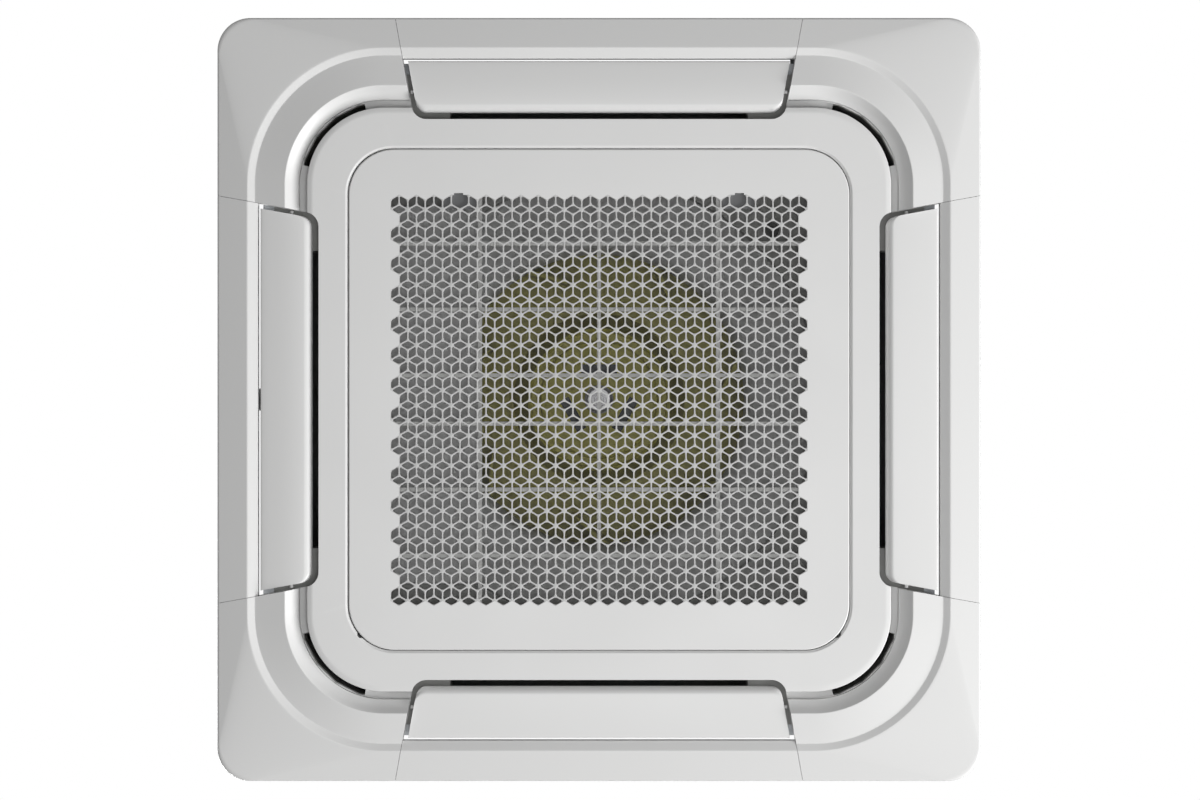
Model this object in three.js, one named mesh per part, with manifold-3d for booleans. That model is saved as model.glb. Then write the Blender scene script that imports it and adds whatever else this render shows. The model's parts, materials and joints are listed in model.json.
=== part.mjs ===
// Ceiling cassette air conditioner with four air vanes and four corner covers.
// Millimetres, +Z up. The origin is the middle of the finished ceiling's lower face, on which
// the panel's flange lies, so the panel hangs below z = 0 and the body stands above it.
// Photo right is +X and photo bottom is +Y: the intake grille hinges at +Y and latches at -Y.
import * as THREE from 'three';
import { ConvexGeometry } from 'three/addons/geometries/ConvexGeometry.js';
import { mergeVertices } from 'three/addons/utils/BufferGeometryUtils.js';
import Module from 'manifold-3d';

const wasm = await Module();
wasm.setup();

// ---------------------------------------------------------------- driving dimensions
const FIT = 0.3;                 // gap between two pieces that touch
const THROUGH = 1;               // how far a cutter runs past the face that it cuts
const QUARTER = Math.PI / 2;
const ROOT2 = Math.SQRT2;

// Panel, from the outer edge inwards, at the middle of a side
const PANEL_HALF = 475;
const PANEL_CORNER = 41;
const RAIL_WIDTH = 38;
const RIDGE_FLAT = 1;
const LIP_WIDTH = 12;
const VANE_CLEAR = 3;
const VANE_WIDTH = 64.4;
const AIR_GAP = 8.1;
const RING_WIDTH = 36.5;
const DOOR_GAP = 1.4;
// Panel, how far each edge hangs below the ceiling
const FLANGE_THICK = 4;
const EDGE_DROP = 14;
const RIDGE_DROP = 21;
const LIP_DROP = 16;
const FACE_DROP = 22;
const SKIN = 3;                  // moulded wall of the panel pieces
const RAIL_HOLLOW = 22;          // width of the hollow that lightens a side rail
// Corner covers: rounded squares about one corner centre, from the ridge inwards
const RIDGE_CORNER = 170;
const COVER_LIP = 9;
const COVER_BAND = 38;
const COVER_COVE = 17;
const CORNER_SLOT = 10;
const COVER_LIP_DROP = 18;
const COVER_CREST_DROP = 24.5;
const COVER_COVE_DROP = 12;
const SLOT_START = 14;           // degrees round the corner where the air slot begins
const SLOT_END = 76;
// Slanted seams between a side rail and its corner covers
const SEAM_AT_LIP = 244;         // half the length of the seam trapezoid at the lip
const SEAM_SLANT = 0.185;
const SEAM_GAP = 0.5;
const VANE_END_GAP = 5.9;
// Vanes
const VANE_AXIS_IN = 38;         // from the vane's outer edge to its pivot
const VANE_AXIS_DROP = 8;
const VANE_NOSE = 10.5;          // radius of the rounded inner edge
const VANE_SKIN = 4;
const PIN_RADIUS = 2.4;
const PIN_CLEAR = 0.4;
const STEPPER_RADIUS = 11.5;
const STEPPER_LENGTH = 19;
const STEPPER_OUT = 5.5;         // the stepper's body sits off its own spindle
const STEPPER_UP = 5;
// Intake grille
const RING_CHAMFER = 5;
const RING_CHAMFER_RISE = 3.5;
const DOOR_CORNER = 57;
const DOOR_THICK = 3;
const DOOR_EDGE_ROUND = 1.5;
const DOOR_BORDER = 52;          // plain border round the grille cells
const CELL_PITCH = 51.4;
const CELL_WEB = 3.5;
const SKIRT_INSET = 8.6;
const SKIRT_HEIGHT = 11;
const HINGE_INSET = 18.6;
const HINGE_DROP = 18.5;
const HINGE_X = 200;
const HINGE_PIN = 1.8;
const HINGE_ARM = 10;
const HINGE_ABOVE = 1;           // the arm passes this far above the ring, clear of the swung edge
const HINGE_SHEET = 3;
const HINGE_TAB_DROP = 8.5;
const RING_RELIEF = 7;           // less corner radius behind the ring's face, where the door turns
const LATCH_X = 172.9;
const LATCH_ROW = 248;
const LATCH_RISE = 5.8;
const LATCH_TRAVEL = 6.5;
const LATCH_HALF = 6;            // half the width of a latch's tongue
// Filter
const FILTER_INSET = 26;
const FILTER_THICK = 5;
const FILTER_RIB = 5;
const FILTER_UP = 3.5;
const FILTER_RIBS_X = [0, 148];
const FILTER_RIBS_Y = [30, 112, 194];
const NET_THICK = 1;
// Body
const SEAL_HEIGHT = 11.2;
const DUCT_STEP = 17;            // the body's duct is this much narrower than the panel's
const DUCT_HALF = 186;           // half the length of an outlet duct
const LINER_THICK = 14;
const SHEET = 1.5;
const CORNER_APOTHEM = 80;       // how far the casing's cut corner lies beyond its flat side
const BODY_BOTTOM = 10;
const BODY_TOP = 296;
const FLANGE_IN = 12;
const PAN_TOP = 85;
const PAN_WALL = 13;
const COIL_DEPTH = 44;
const COIL_CORNER = 62;
const COIL_FLOOR = 55;
const COIL_TOP = 276;
const COIL_CUT = 43;             // how far the coil stops short of the corner, from its inner face
const FAN_COIL_GAP = 43;
// Fan, bell mouth and motor
const THROAT_LESS = 62;          // throat radius below the fan radius
const BELL_Z = 40.5;
const BELL_SKIN = 2.5;
const BELL_BEYOND_FAN = 30;
const BELL_TOP = 78;
const BLADES = 7;
const FAN_BACK = 235;
const HUB_Z = 124;
const HUB_RADIUS = 74;
const HUB_GROOVE = 12;
const BOSS_RADIUS = 18.4;
const BOSS_Z = 118;
const SHAFT_RADIUS = 6;
const NUT_RADIUS = 11;
const NUT_HEIGHT = 9.5;
const WASHER_RADIUS = 14;
const WASHER_THICK = 1.4;
const MOTOR_RADIUS = 68;
const MOTOR_BOTTOM = 137;
const MOTOR_TOP = 269.7;
const MOUNT_RADIUS = 118;
const MOUNT_THICK = 2.5;
const GROMMET_RADIUS = 11;
const GROMMET_AT = 100;
const MOTOR_HOLE = 125;
// Electrical box, beside the throat
const BOX_IN_THROAT = 34.5;      // how far its cover reaches in past the throat's edge
const BOX_FROM_RING = 12;        // from the ring's inner wall to each of the box's outer sides
const BOX_NEAR_GAP = 71;
const BOX_FAR_GAP = 82;
const BOX_BOTTOM = 3;
const COVER_THICK = 1.7;
const BOARD_THICK = 2;
const BOARD_MARGIN = 13;
const BOARD_FROM_END = 91;
const BOARD_LENGTH = 240;
const RELAY = 32;
const SINK_WIDTH = 35;
const SINK_LENGTH = 80;
const CHOKE_RADIUS = 16;
const TERMINAL_LENGTH = 70;
const TERMINAL_FROM_END = 30;
const TERMINAL_INSET = 40;
const GLAND_Z = 60;
const GLAND_RADIUS = 8.5;
const GLAND_NUT = 14;
// Pump corner: photo right and top
const PUMP_FROM_COIL = 13.5;     // from the coil's cut end inwards to the pump's axis
const PUMP_RADIUS = 26;
const IMPELLER_HOUSING = 20;
const IMPELLER_RADIUS = 15;
const SUMP_RADIUS = 34;
const SUMP_FLOOR = 30;
const PLUG_FROM_PUMP_X = 17;
const PLUG_FROM_PUMP_Y = 20;
const PLUG_RADIUS = 10;
const FLOAT_FROM_PUMP_X = 42;
const FLOAT_FROM_PUMP_Y = 30;
const FLOAT_WELL = 16;
const HOSE_RADIUS = 9;
const HOSE_START = 108;
const PUMP_NECK = 9;
const PUMP_MOTOR_Z = 130;
const PUMP_TOP = 176;
const PUMP_MOUTH_Z = 36;
const IMPELLER_Z = 44;
const IMPELLER_HEIGHT = 10;
const PUMP_WALL = 3;
const FLOAT_HEIGHT = 53;
const FLOAT_RADIUS = 12;
const DRAIN_RADIUS = 16;
const DRAIN_Z = 200;
const DRAIN_LENGTH = 34;
// Refrigerant pipes
const PIPE_FROM_COIL = 18.5;     // from the coil's cut end outwards to the pipes
const GAS_RADIUS = 8;
const LIQUID_RADIUS = 5;
const GAS_HEADER = 9.5;
const LIQUID_HEADER = 6;
const GAS_Z = 170;
const LIQUID_Z = 235;
const PIPE_BEYOND = 46;          // how far the pipes stand out of the casing
const NUT_LENGTH = 24;
// Hangers, at the pitch of the ceiling rods
const HANGER_INSET = 29.8;       // from the casing's side to the rods, along X
const HANGER_STAGGER = 50;       // the rods' half pitch along Y is this much less
const HANGER_Z = 125;
const HANGER_WIDTH = 60;
const HANGER_SHEET = 3;
const ROD_SLOT = 12;
const POCKET_RADIUS = 26;

// ---------------------------------------------------------------- derived places
const RIDGE = PANEL_HALF - RAIL_WIDTH;
const LIP_IN = RIDGE - RIDGE_FLAT - LIP_WIDTH;
const VANE_OUT = LIP_IN - VANE_CLEAR;
const VANE_IN = VANE_OUT - VANE_WIDTH;
const VANE_AXIS = VANE_OUT - VANE_AXIS_IN;
const RING_OUT = VANE_IN - AIR_GAP;
const RING_IN = RING_OUT - RING_WIDTH;
const DOOR_HALF = RING_IN - DOOR_GAP;
const CORNER_CENTRE = RIDGE - RIDGE_CORNER;
const LIP_R = RIDGE_CORNER - COVER_LIP;
const CREST_R = LIP_R - COVER_BAND;
const COVE_R = CREST_R - COVER_COVE;
const RING_R = COVE_R - CORNER_SLOT;
const DOOR_TOP = -FACE_DROP + DOOR_THICK;
const SKIRT_OUT = DOOR_HALF - SKIRT_INSET;
const SKIRT_TOP = DOOR_TOP + SKIRT_HEIGHT;
const GRILLE_HALF = DOOR_HALF - DOOR_BORDER;
const HINGE_AXIS = DOOR_HALF - HINGE_INSET;
const FILTER_HALF = DOOR_HALF - FILTER_INSET;
const FILTER_Z = DOOR_TOP + FILTER_UP;
const LINER_IN = VANE_OUT - DUCT_STEP;
const LINER_OUT = LINER_IN + LINER_THICK;
const CASING_IN = LINER_OUT + FIT;
const CASING_OUT = CASING_IN + SHEET;
const PAN_BOTTOM = BODY_BOTTOM + SHEET + FIT;
const COIL_OUT = RING_OUT - PAN_WALL - FIT * 10;
const COIL_IN = COIL_OUT - COIL_DEPTH;
const COIL_BOTTOM = COIL_FLOOR + FIT;
const COIL_END = COIL_IN - COIL_CUT;
const FAN_RADIUS = COIL_IN - FAN_COIL_GAP;
const THROAT = FAN_RADIUS - THROAT_LESS;
const BELL_RADIUS = FAN_RADIUS + BELL_BEYOND_FAN;
const BOX_INNER_X = -THROAT + BOX_IN_THROAT;
const BOX_OUTER_X = -RING_IN + BOX_FROM_RING;
const BOX_NEAR_Y = -RING_IN + BOX_NEAR_GAP;
const BOX_FAR_Y = RING_IN - BOX_FAR_GAP;
const PUMP_AT = COIL_END - PUMP_FROM_COIL;
const PLUG_X = PUMP_AT - PLUG_FROM_PUMP_X;
const PLUG_Y = -PUMP_AT + PLUG_FROM_PUMP_Y;
const FLOAT_X = PUMP_AT - FLOAT_FROM_PUMP_X;
const FLOAT_Y = -PUMP_AT - FLOAT_FROM_PUMP_Y;
const PIPE_Y = COIL_END + PIPE_FROM_COIL;
const HANGER_X = CASING_OUT - HANGER_INSET;
const HANGER_Y = HANGER_X - HANGER_STAGGER;
const BELL_FACE = BELL_Z + BELL_SKIN;
const BOX_TOP = BELL_Z - FIT;
const PIPE_END = CASING_OUT + PIPE_BEYOND;

// ---------------------------------------------------------------- solids and booleans
function solid(geometry) {
  if (geometry.userData.exact) {
    return new wasm.Manifold(new wasm.Mesh({
      numProp: 3,
      vertProperties: new Float32Array(geometry.attributes.position.array),
      triVerts: new Uint32Array(geometry.index.array),
    }));
  }
  const plain = geometry.clone();
  for (const name of Object.keys(plain.attributes)) {
    if (name !== 'position') {
      plain.deleteAttribute(name);
    }
  }
  const merged = mergeVertices(plain, 1e-4);
  const points = new Float32Array(merged.attributes.position.array);
  const faces = [];
  const index = merged.index.array;
  for (let i = 0; i < index.length; i += 3) {
    const [a, b, c] = [index[i], index[i + 1], index[i + 2]];
    if (a !== b && b !== c && c !== a) {
      faces.push([a, b, c]);
    }
  }
  const corner = (n) => new THREE.Vector3().fromArray(points, 3 * n);
  let volume = 0;
  for (const [a, b, c] of faces) {
    volume += corner(a).dot(corner(b).cross(corner(c)));
  }
  const outward = volume > 0 ? faces : faces.map(([a, b, c]) => [a, c, b]);
  const mesh = new wasm.Mesh({
    numProp: 3,
    vertProperties: points,
    triVerts: new Uint32Array(outward.flat()),
  });
  return new wasm.Manifold(mesh);
}

function asSolid(shape) {
  return shape instanceof THREE.BufferGeometry ? solid(shape) : shape;
}

function join(first, ...others) {
  return others.reduce((whole, other) => whole.add(asSolid(other)), asSolid(first));
}

function cut(first, ...cutters) {
  return cutters.reduce((whole, cutter) => whole.subtract(asSolid(cutter)), asSolid(first));
}

function common(first, ...others) {
  return others.reduce((whole, other) => whole.intersect(asSolid(other)), asSolid(first));
}

// The triangles of a solid, marked as exact so that they need no merging when cut again
function geometryOf(shape) {
  const mesh = asSolid(shape).getMesh();
  const geometry = new THREE.BufferGeometry();
  geometry.setAttribute('position', new THREE.BufferAttribute(new Float32Array(mesh.vertProperties), 3));
  geometry.setIndex(new THREE.BufferAttribute(new Uint32Array(mesh.triVerts), 1));
  geometry.userData.exact = true;
  return geometry;
}

// ---------------------------------------------------------------- outlines and simple forms
function roundedSquare(half, radius, steps = 5) {
  const points = [];
  const centre = half - radius;
  for (let corner = 0; corner < 4; corner += 1) {
    const middle = new THREE.Vector2(centre, centre).rotateAround(new THREE.Vector2(), corner * QUARTER);
    for (let step = 0; step <= steps; step += 1) {
      const angle = corner * QUARTER + (step / steps) * QUARTER;
      points.push(new THREE.Vector2(Math.cos(angle), Math.sin(angle)).multiplyScalar(radius).add(middle));
    }
  }
  return points;
}

function octagon(half, apothem) {
  const side = apothem * ROOT2 - half;
  const points = [];
  for (let corner = 0; corner < 4; corner += 1) {
    for (const [x, y] of [[half, side], [side, half]]) {
      points.push(new THREE.Vector2(x, y).rotateAround(new THREE.Vector2(), corner * QUARTER));
    }
  }
  return points;
}

function casingOutline(half) {
  return octagon(half, half + CORNER_APOTHEM);
}

function prism(points, bottom, top, holes = []) {
  const shape = new THREE.Shape(points);
  shape.holes = holes.map((hole) => new THREE.Path(hole));
  const geometry = new THREE.ExtrudeGeometry(shape, { depth: top - bottom, bevelEnabled: false });
  return geometry.translate(0, 0, bottom);
}

function block(x0, x1, y0, y1, z0, z1) {
  const geometry = new THREE.BoxGeometry(x1 - x0, y1 - y0, z1 - z0);
  return geometry.translate((x0 + x1) / 2, (y0 + y1) / 2, (z0 + z1) / 2);
}

// levels is a list of [half, corner radius, z] rounded squares, from which one taper is stretched
function taper(levels) {
  const points = [];
  for (const [half, radius, z] of levels) {
    for (const point of roundedSquare(half, radius)) {
      points.push(new THREE.Vector3(point.x, point.y, z));
    }
  }
  return new ConvexGeometry(points);
}

function turned(profile, segments = 32) {
  const points = profile.map(([radius, z]) => new THREE.Vector2(radius, z));
  points.push(points[0].clone());
  return new THREE.LatheGeometry(points, segments).rotateX(QUARTER);
}

function rod(radius, bottom, top, sides = 20) {
  const geometry = new THREE.CylinderGeometry(radius, radius, top - bottom, sides);
  return geometry.rotateX(QUARTER).translate(0, 0, (top + bottom) / 2);
}

function tube(outer, inner, bottom, top, sides = 24) {
  return turned([[inner, bottom], [outer, bottom], [outer, top], [inner, top]], sides);
}

// A rod along X, from x0 to x1
function rodX(radius, x0, x1, y, z, sides = 14) {
  return rod(radius, x0, x1, sides).rotateY(QUARTER).translate(0, y, z);
}

// A rod along Y, from y0 to y1
function rodY(radius, y0, y1, x, z, sides = 14) {
  return rod(radius, -y1, -y0, sides).rotateX(QUARTER).translate(x, 0, z);
}

function quarters(geometry) {
  return [0, 1, 2, 3].map((turn) => geometry.clone().rotateZ(turn * QUARTER));
}

// ---------------------------------------------------------------- seams
function seamAt(out) {
  return SEAM_AT_LIP + SEAM_SLANT * (out - LIP_IN);
}

function sideTrapezoid(inner, outer, less) {
  return [
    new THREE.Vector2(inner, -seamAt(inner) + less),
    new THREE.Vector2(outer, -seamAt(outer) + less),
    new THREE.Vector2(outer, seamAt(outer) - less),
    new THREE.Vector2(inner, seamAt(inner) - less),
  ];
}

// The kite outside both seams that meet at the corner of +X and +Y
function cornerKite(more) {
  const meet = (SEAM_AT_LIP - SEAM_SLANT * LIP_IN + more) / (1 - SEAM_SLANT);
  const far = PANEL_HALF + 10;
  const edge = seamAt(far) + more;
  return [
    new THREE.Vector2(meet, meet),
    new THREE.Vector2(far, edge),
    new THREE.Vector2(far, far),
    new THREE.Vector2(edge, far),
  ];
}

function cornerSquare(radius) {
  return roundedSquare(CORNER_CENTRE + radius, radius);
}

function slotWedge() {
  const reach = PANEL_HALF;
  const ends = [SLOT_START, SLOT_END].map((degrees) => (degrees * Math.PI) / 180);
  return [
    new THREE.Vector2(CORNER_CENTRE, CORNER_CENTRE),
    ...ends.map((angle) => new THREE.Vector2(
      CORNER_CENTRE + reach * Math.cos(angle),
      CORNER_CENTRE + reach * Math.sin(angle),
    )),
  ];
}

// The air slots in the four corners, cut through from z = bottom to z = top
function cornerSlots(bottom, top) {
  const ring = prism(cornerSquare(COVE_R - FIT), bottom, top, [cornerSquare(RING_R)]);
  return join(...quarters(prism(slotWedge(), bottom, top)).map((wedge) => common(ring, wedge)));
}

// ---------------------------------------------------------------- panel
function panelBlank() {
  return taper([
    [PANEL_HALF, PANEL_CORNER, 0],
    [PANEL_HALF, PANEL_CORNER, -EDGE_DROP + 1.5],
    [PANEL_HALF - 1, PANEL_CORNER - 1, -EDGE_DROP],
    [RIDGE, RIDGE_CORNER, -RIDGE_DROP],
  ]);
}

// Where the wall of a corner cover ends along a vane's axis, for a piece that reaches out this far
function behindCover(out) {
  return seamAt(out) + SEAM_GAP + SKIN + FIT;
}

function stepperFrom() {
  return behindCover(VANE_AXIS + STEPPER_OUT + STEPPER_RADIUS);
}

function steppersCut(grow, bottom, top) {
  const out = VANE_AXIS + STEPPER_OUT;
  const from = stepperFrom();
  const half = STEPPER_RADIUS + grow;
  return block(out - half, out + half, from - grow, from + STEPPER_LENGTH + grow, bottom, top);
}

function vanePinCut() {
  const half = PIN_RADIUS + 2;
  return block(
    VANE_AXIS - half, VANE_AXIS + half,
    -seamAt(PANEL_HALF), seamAt(PANEL_HALF),
    -VANE_AXIS_DROP - half, 1,
  );
}

function ringSolid() {
  const outer = prism(cornerSquare(RING_R), -FACE_DROP, 0);
  const notch = prism(sideTrapezoid(RING_OUT, PANEL_HALF, 0), -FACE_DROP - THROUGH, THROUGH);
  const behind = -FACE_DROP + RING_CHAMFER_RISE;
  const reliefCorner = DOOR_CORNER - RING_RELIEF;
  const inner = prism(roundedSquare(RING_IN, DOOR_CORNER), -FACE_DROP - THROUGH, behind + 0.1);
  const relief = prism(roundedSquare(RING_IN, reliefCorner), behind, THROUGH);
  const chamfer = taper([
    [RING_IN + RING_CHAMFER, DOOR_CORNER + RING_CHAMFER, -FACE_DROP - THROUGH],
    [RING_IN + RING_CHAMFER, DOOR_CORNER + RING_CHAMFER, -FACE_DROP],
    [RING_IN, DOOR_CORNER, behind],
  ]);
  const hollow = prism(
    roundedSquare(RING_OUT - SKIN, RING_R - SKIN), -FACE_DROP + SKIN, THROUGH,
    [roundedSquare(RING_IN + SKIN, reliefCorner + SKIN)],
  );
  return cut(outer, ...quarters(notch), inner, relief, chamfer, hollow);
}

// Fixed fillers between the ends of an air slot and the neighbouring vane gaps
function slotFillers() {
  const band = prism(cornerSquare(COVE_R - FIT), -COVER_COVE_DROP, -FLANGE_THICK / 2, [
    cornerSquare(RING_R - SKIN / 2),
  ]);
  const kites = quarters(prism(cornerKite(0), -FACE_DROP, 0));
  const wedges = quarters(prism(slotWedge(), -FACE_DROP, 0));
  return join(...kites.map((kite) => common(band, kite))).subtract(join(...wedges));
}

function vaneBearing() {
  const half = PIN_RADIUS + 2.4;
  const from = -behindCover(VANE_AXIS + half) - 6;
  const housing = block(
    VANE_AXIS - half, VANE_AXIS + half, from, from + 6, -VANE_AXIS_DROP - half, -FLANGE_THICK / 2,
  );
  const bore = rodY(
    PIN_RADIUS + PIN_CLEAR, from - THROUGH, from + 6 + THROUGH, VANE_AXIS, -VANE_AXIS_DROP,
  );
  return [housing, bore];
}

function latchSlots() {
  return [-LATCH_X, LATCH_X].map((x) => block(
    x - LATCH_HALF - 1, x + LATCH_HALF + 1, -RING_IN - SKIN - THROUGH, -RING_IN + THROUGH,
    DOOR_TOP + 1.8, DOOR_TOP + LATCH_RISE + 1,
  ));
}

function panelFrame() {
  const deep = -FACE_DROP - 10;
  const lip = taper([
    [RIDGE - RIDGE_FLAT, RIDGE_CORNER, deep],
    [RIDGE - RIDGE_FLAT, RIDGE_CORNER, -RIDGE_DROP],
    [LIP_IN, RIDGE_CORNER - LIP_WIDTH, -LIP_DROP],
  ]);
  const well = prism(roundedSquare(LIP_IN, RIDGE_CORNER - LIP_WIDTH), -LIP_DROP - 0.5, -FLANGE_THICK);
  const corners = quarters(prism(cornerKite(0), deep, -FLANGE_THICK));
  const middle = prism(cornerSquare(RING_R - SKIN / 2), deep, THROUGH);
  const ducts = quarters(prism(sideTrapezoid(RING_OUT, LIP_IN, 0), deep, THROUGH));
  const hollowIn = LIP_IN + SKIN;
  const hollowEnd = seamAt(hollowIn) - 2 * SKIN;
  const railHollow = block(
    hollowIn, hollowIn + RAIL_HOLLOW, -hollowEnd, hollowEnd, -LIP_DROP + SKIN, THROUGH,
  );
  const plate = cut(
    panelBlank(), lip, well, ...corners, middle, ...ducts, ...quarters(railHollow),
    cornerSlots(deep, THROUGH),
  );
  const [housing, bore] = vaneBearing();
  const pockets = hangerPlaces().map(([x, y]) => rod(POCKET_RADIUS, deep, THROUGH, 20).translate(x, y, 0));
  const support = block(
    RING_OUT - 1, RING_OUT + 4.5, -2.5, 2.5, -VANE_AXIS_DROP - 8, -VANE_AXIS_DROP,
  );
  const whole = join(plate, ringSolid(), slotFillers(), ...quarters(housing), ...quarters(support));
  return cut(
    whole, ...quarters(bore), ...quarters(steppersCut(FIT, -12, THROUGH)), ...pockets, ...latchSlots(),
  );
}

// The cover in the corner of +X and +Y, a shell that follows the ridge, crest and cove
function cornerCover() {
  const deep = -COVER_CREST_DROP - 6;
  const top = -FLANGE_THICK - FIT;
  const square = (radius, z) => [CORNER_CENTRE + radius, radius, z];
  const outerBand = cut(
    panelBlank(),
    taper([
      square(RIDGE_CORNER - RIDGE_FLAT, deep),
      square(RIDGE_CORNER - RIDGE_FLAT, -RIDGE_DROP),
      square(LIP_R, -COVER_LIP_DROP),
    ]),
    prism(cornerSquare(LIP_R), -COVER_LIP_DROP - 0.5, THROUGH),
  );
  const crest = taper([
    square(LIP_R + 0.5, top + THROUGH),
    square(LIP_R + 0.5, -COVER_LIP_DROP),
    square(CREST_R, -COVER_CREST_DROP),
  ]);
  const cove = taper([
    square(CREST_R - RIDGE_FLAT, deep),
    square(CREST_R - RIDGE_FLAT, -COVER_CREST_DROP),
    square(COVE_R, -COVER_COVE_DROP),
  ]);
  const hole = prism(cornerSquare(COVE_R), -COVER_COVE_DROP - 0.5, THROUGH * 3);
  const full = cut(join(outerBand, crest), cove, hole);
  const region = prism(cornerKite(SEAM_GAP), deep, top);
  const body = common(full, region);
  const raised = geometryOf(full).translate(0, 0, SKIN);
  const inside = common(
    prism(roundedSquare(PANEL_HALF - SKIN, PANEL_CORNER - SKIN), deep, THROUGH * 2, [
      cornerSquare(COVE_R + SKIN),
    ]),
    prism(cornerKite(SEAM_GAP + SKIN), deep, THROUGH * 2),
  );
  const pins = quarters(vanePinCut()).slice(0, 2);
  return cut(body, common(raised, inside), ...pins);
}

// A vane for the +X side, closed, seen along its length: [out, z] points
function vaneProfile() {
  const face = -FACE_DROP + 1;
  const nose = new THREE.Vector2(VANE_IN + VANE_NOSE, face + VANE_NOSE);
  const points = [
    [VANE_OUT, -LIP_DROP + VANE_SKIN],
    [VANE_OUT, -LIP_DROP - 0.5],
    [VANE_OUT - 3, -LIP_DROP - 1.5],
    [VANE_OUT - VANE_WIDTH * 0.3, face + 2.1],
    [VANE_OUT - VANE_WIDTH * 0.6, face + 0.5],
  ];
  for (let step = 0; step <= 5; step += 1) {
    const angle = -QUARTER - (step / 5) * (QUARTER + 0.5);
    points.push([nose.x + VANE_NOSE * Math.cos(angle), nose.y + VANE_NOSE * Math.sin(angle)]);
  }
  points.push(
    [VANE_IN + VANE_SKIN + 1.5, nose.y + 0.5],
    [nose.x + 1, face + VANE_SKIN + 1],
    [VANE_OUT - VANE_WIDTH * 0.45, face + VANE_SKIN + 2],
  );
  return points;
}

// An outline given as [out, z] points, stretched along Y from y0 to y1
function extrudedY(points, y0, y1) {
  const shape = new THREE.Shape(points.map(([x, z]) => new THREE.Vector2(x, z)));
  const geometry = new THREE.ExtrudeGeometry(shape, { depth: y1 - y0, bevelEnabled: false });
  return geometry.rotateX(QUARTER).translate(0, y1, 0);
}

// Made about its own pivot, so that the mesh is placed there
function vane() {
  const length = seamAt(LIP_IN);
  const trapezoid = prism(sideTrapezoid(VANE_IN - 5, VANE_OUT + 5, VANE_END_GAP), -40, 20);
  const blade = common(extrudedY(vaneProfile(), -length, length), trapezoid);
  const webAt = seamAt(VANE_AXIS) - VANE_END_GAP - 8;
  const root = -FACE_DROP + VANE_SKIN;
  const webOutline = [
    [VANE_AXIS - 12, root],
    [VANE_AXIS + 12, root],
    [VANE_AXIS + 4, -VANE_AXIS_DROP + 3],
    [VANE_AXIS - 4, -VANE_AXIS_DROP + 3],
  ];
  const pinEnd = stepperFrom() + 5;
  const arms = [-1, 1].map((end) => join(
    extrudedY(webOutline, end * webAt - 1.5, end * webAt + 1.5),
    rodY(PIN_RADIUS, Math.min(end * webAt, end * pinEnd), Math.max(end * webAt, end * pinEnd),
      VANE_AXIS, -VANE_AXIS_DROP),
  ));
  return geometryOf(join(blade, ...arms)).translate(-VANE_AXIS, 0, VANE_AXIS_DROP);
}

// The stepper's spindle end is its origin, so that it is placed on the vane's axis
function vaneStepper() {
  const can = rodY(STEPPER_RADIUS, 0, STEPPER_LENGTH, STEPPER_OUT, STEPPER_UP, 18);
  const ears = block(
    STEPPER_OUT - STEPPER_RADIUS - 4, STEPPER_OUT + STEPPER_RADIUS + 4,
    1, 3, VANE_AXIS_DROP + FIT, VANE_AXIS_DROP + FIT + 1.6,
  );
  const socket = rodY(PIN_RADIUS + PIN_CLEAR, -THROUGH, 6, 0, 0);
  return geometryOf(cut(join(can, ears), socket));
}

// ---------------------------------------------------------------- intake grille
function hexagon(x, y, apothem) {
  const radius = (apothem * 2) / Math.sqrt(3);
  return [0, 1, 2, 3, 4, 5].map((n) => {
    const angle = (n + 0.5) * (Math.PI / 3);
    return new THREE.Vector2(x + radius * Math.cos(angle), y + radius * Math.sin(angle));
  });
}

function grilleCells() {
  const rowPitch = (CELL_PITCH * Math.sqrt(3)) / 2;
  const rows = Math.floor((GRILLE_HALF - CELL_PITCH / Math.sqrt(3)) / rowPitch);
  const shapes = [];
  for (let row = -rows; row <= rows; row += 1) {
    const shift = Math.abs(row) % 2 === rows % 2 ? 0.5 : 0;
    const columns = Math.floor(GRILLE_HALF / CELL_PITCH - 0.5 - shift);
    for (let column = -columns - 2 * shift; column <= columns; column += 1) {
      const x = (column + shift) * CELL_PITCH;
      shapes.push(new THREE.Shape(hexagon(x, row * rowPitch, (CELL_PITCH - CELL_WEB) / 2)));
    }
  }
  const depth = DOOR_THICK + 2 * THROUGH;
  const geometry = new THREE.ExtrudeGeometry(shapes, { depth, bevelEnabled: false });
  return geometry.translate(0, 0, -FACE_DROP - THROUGH);
}

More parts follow.
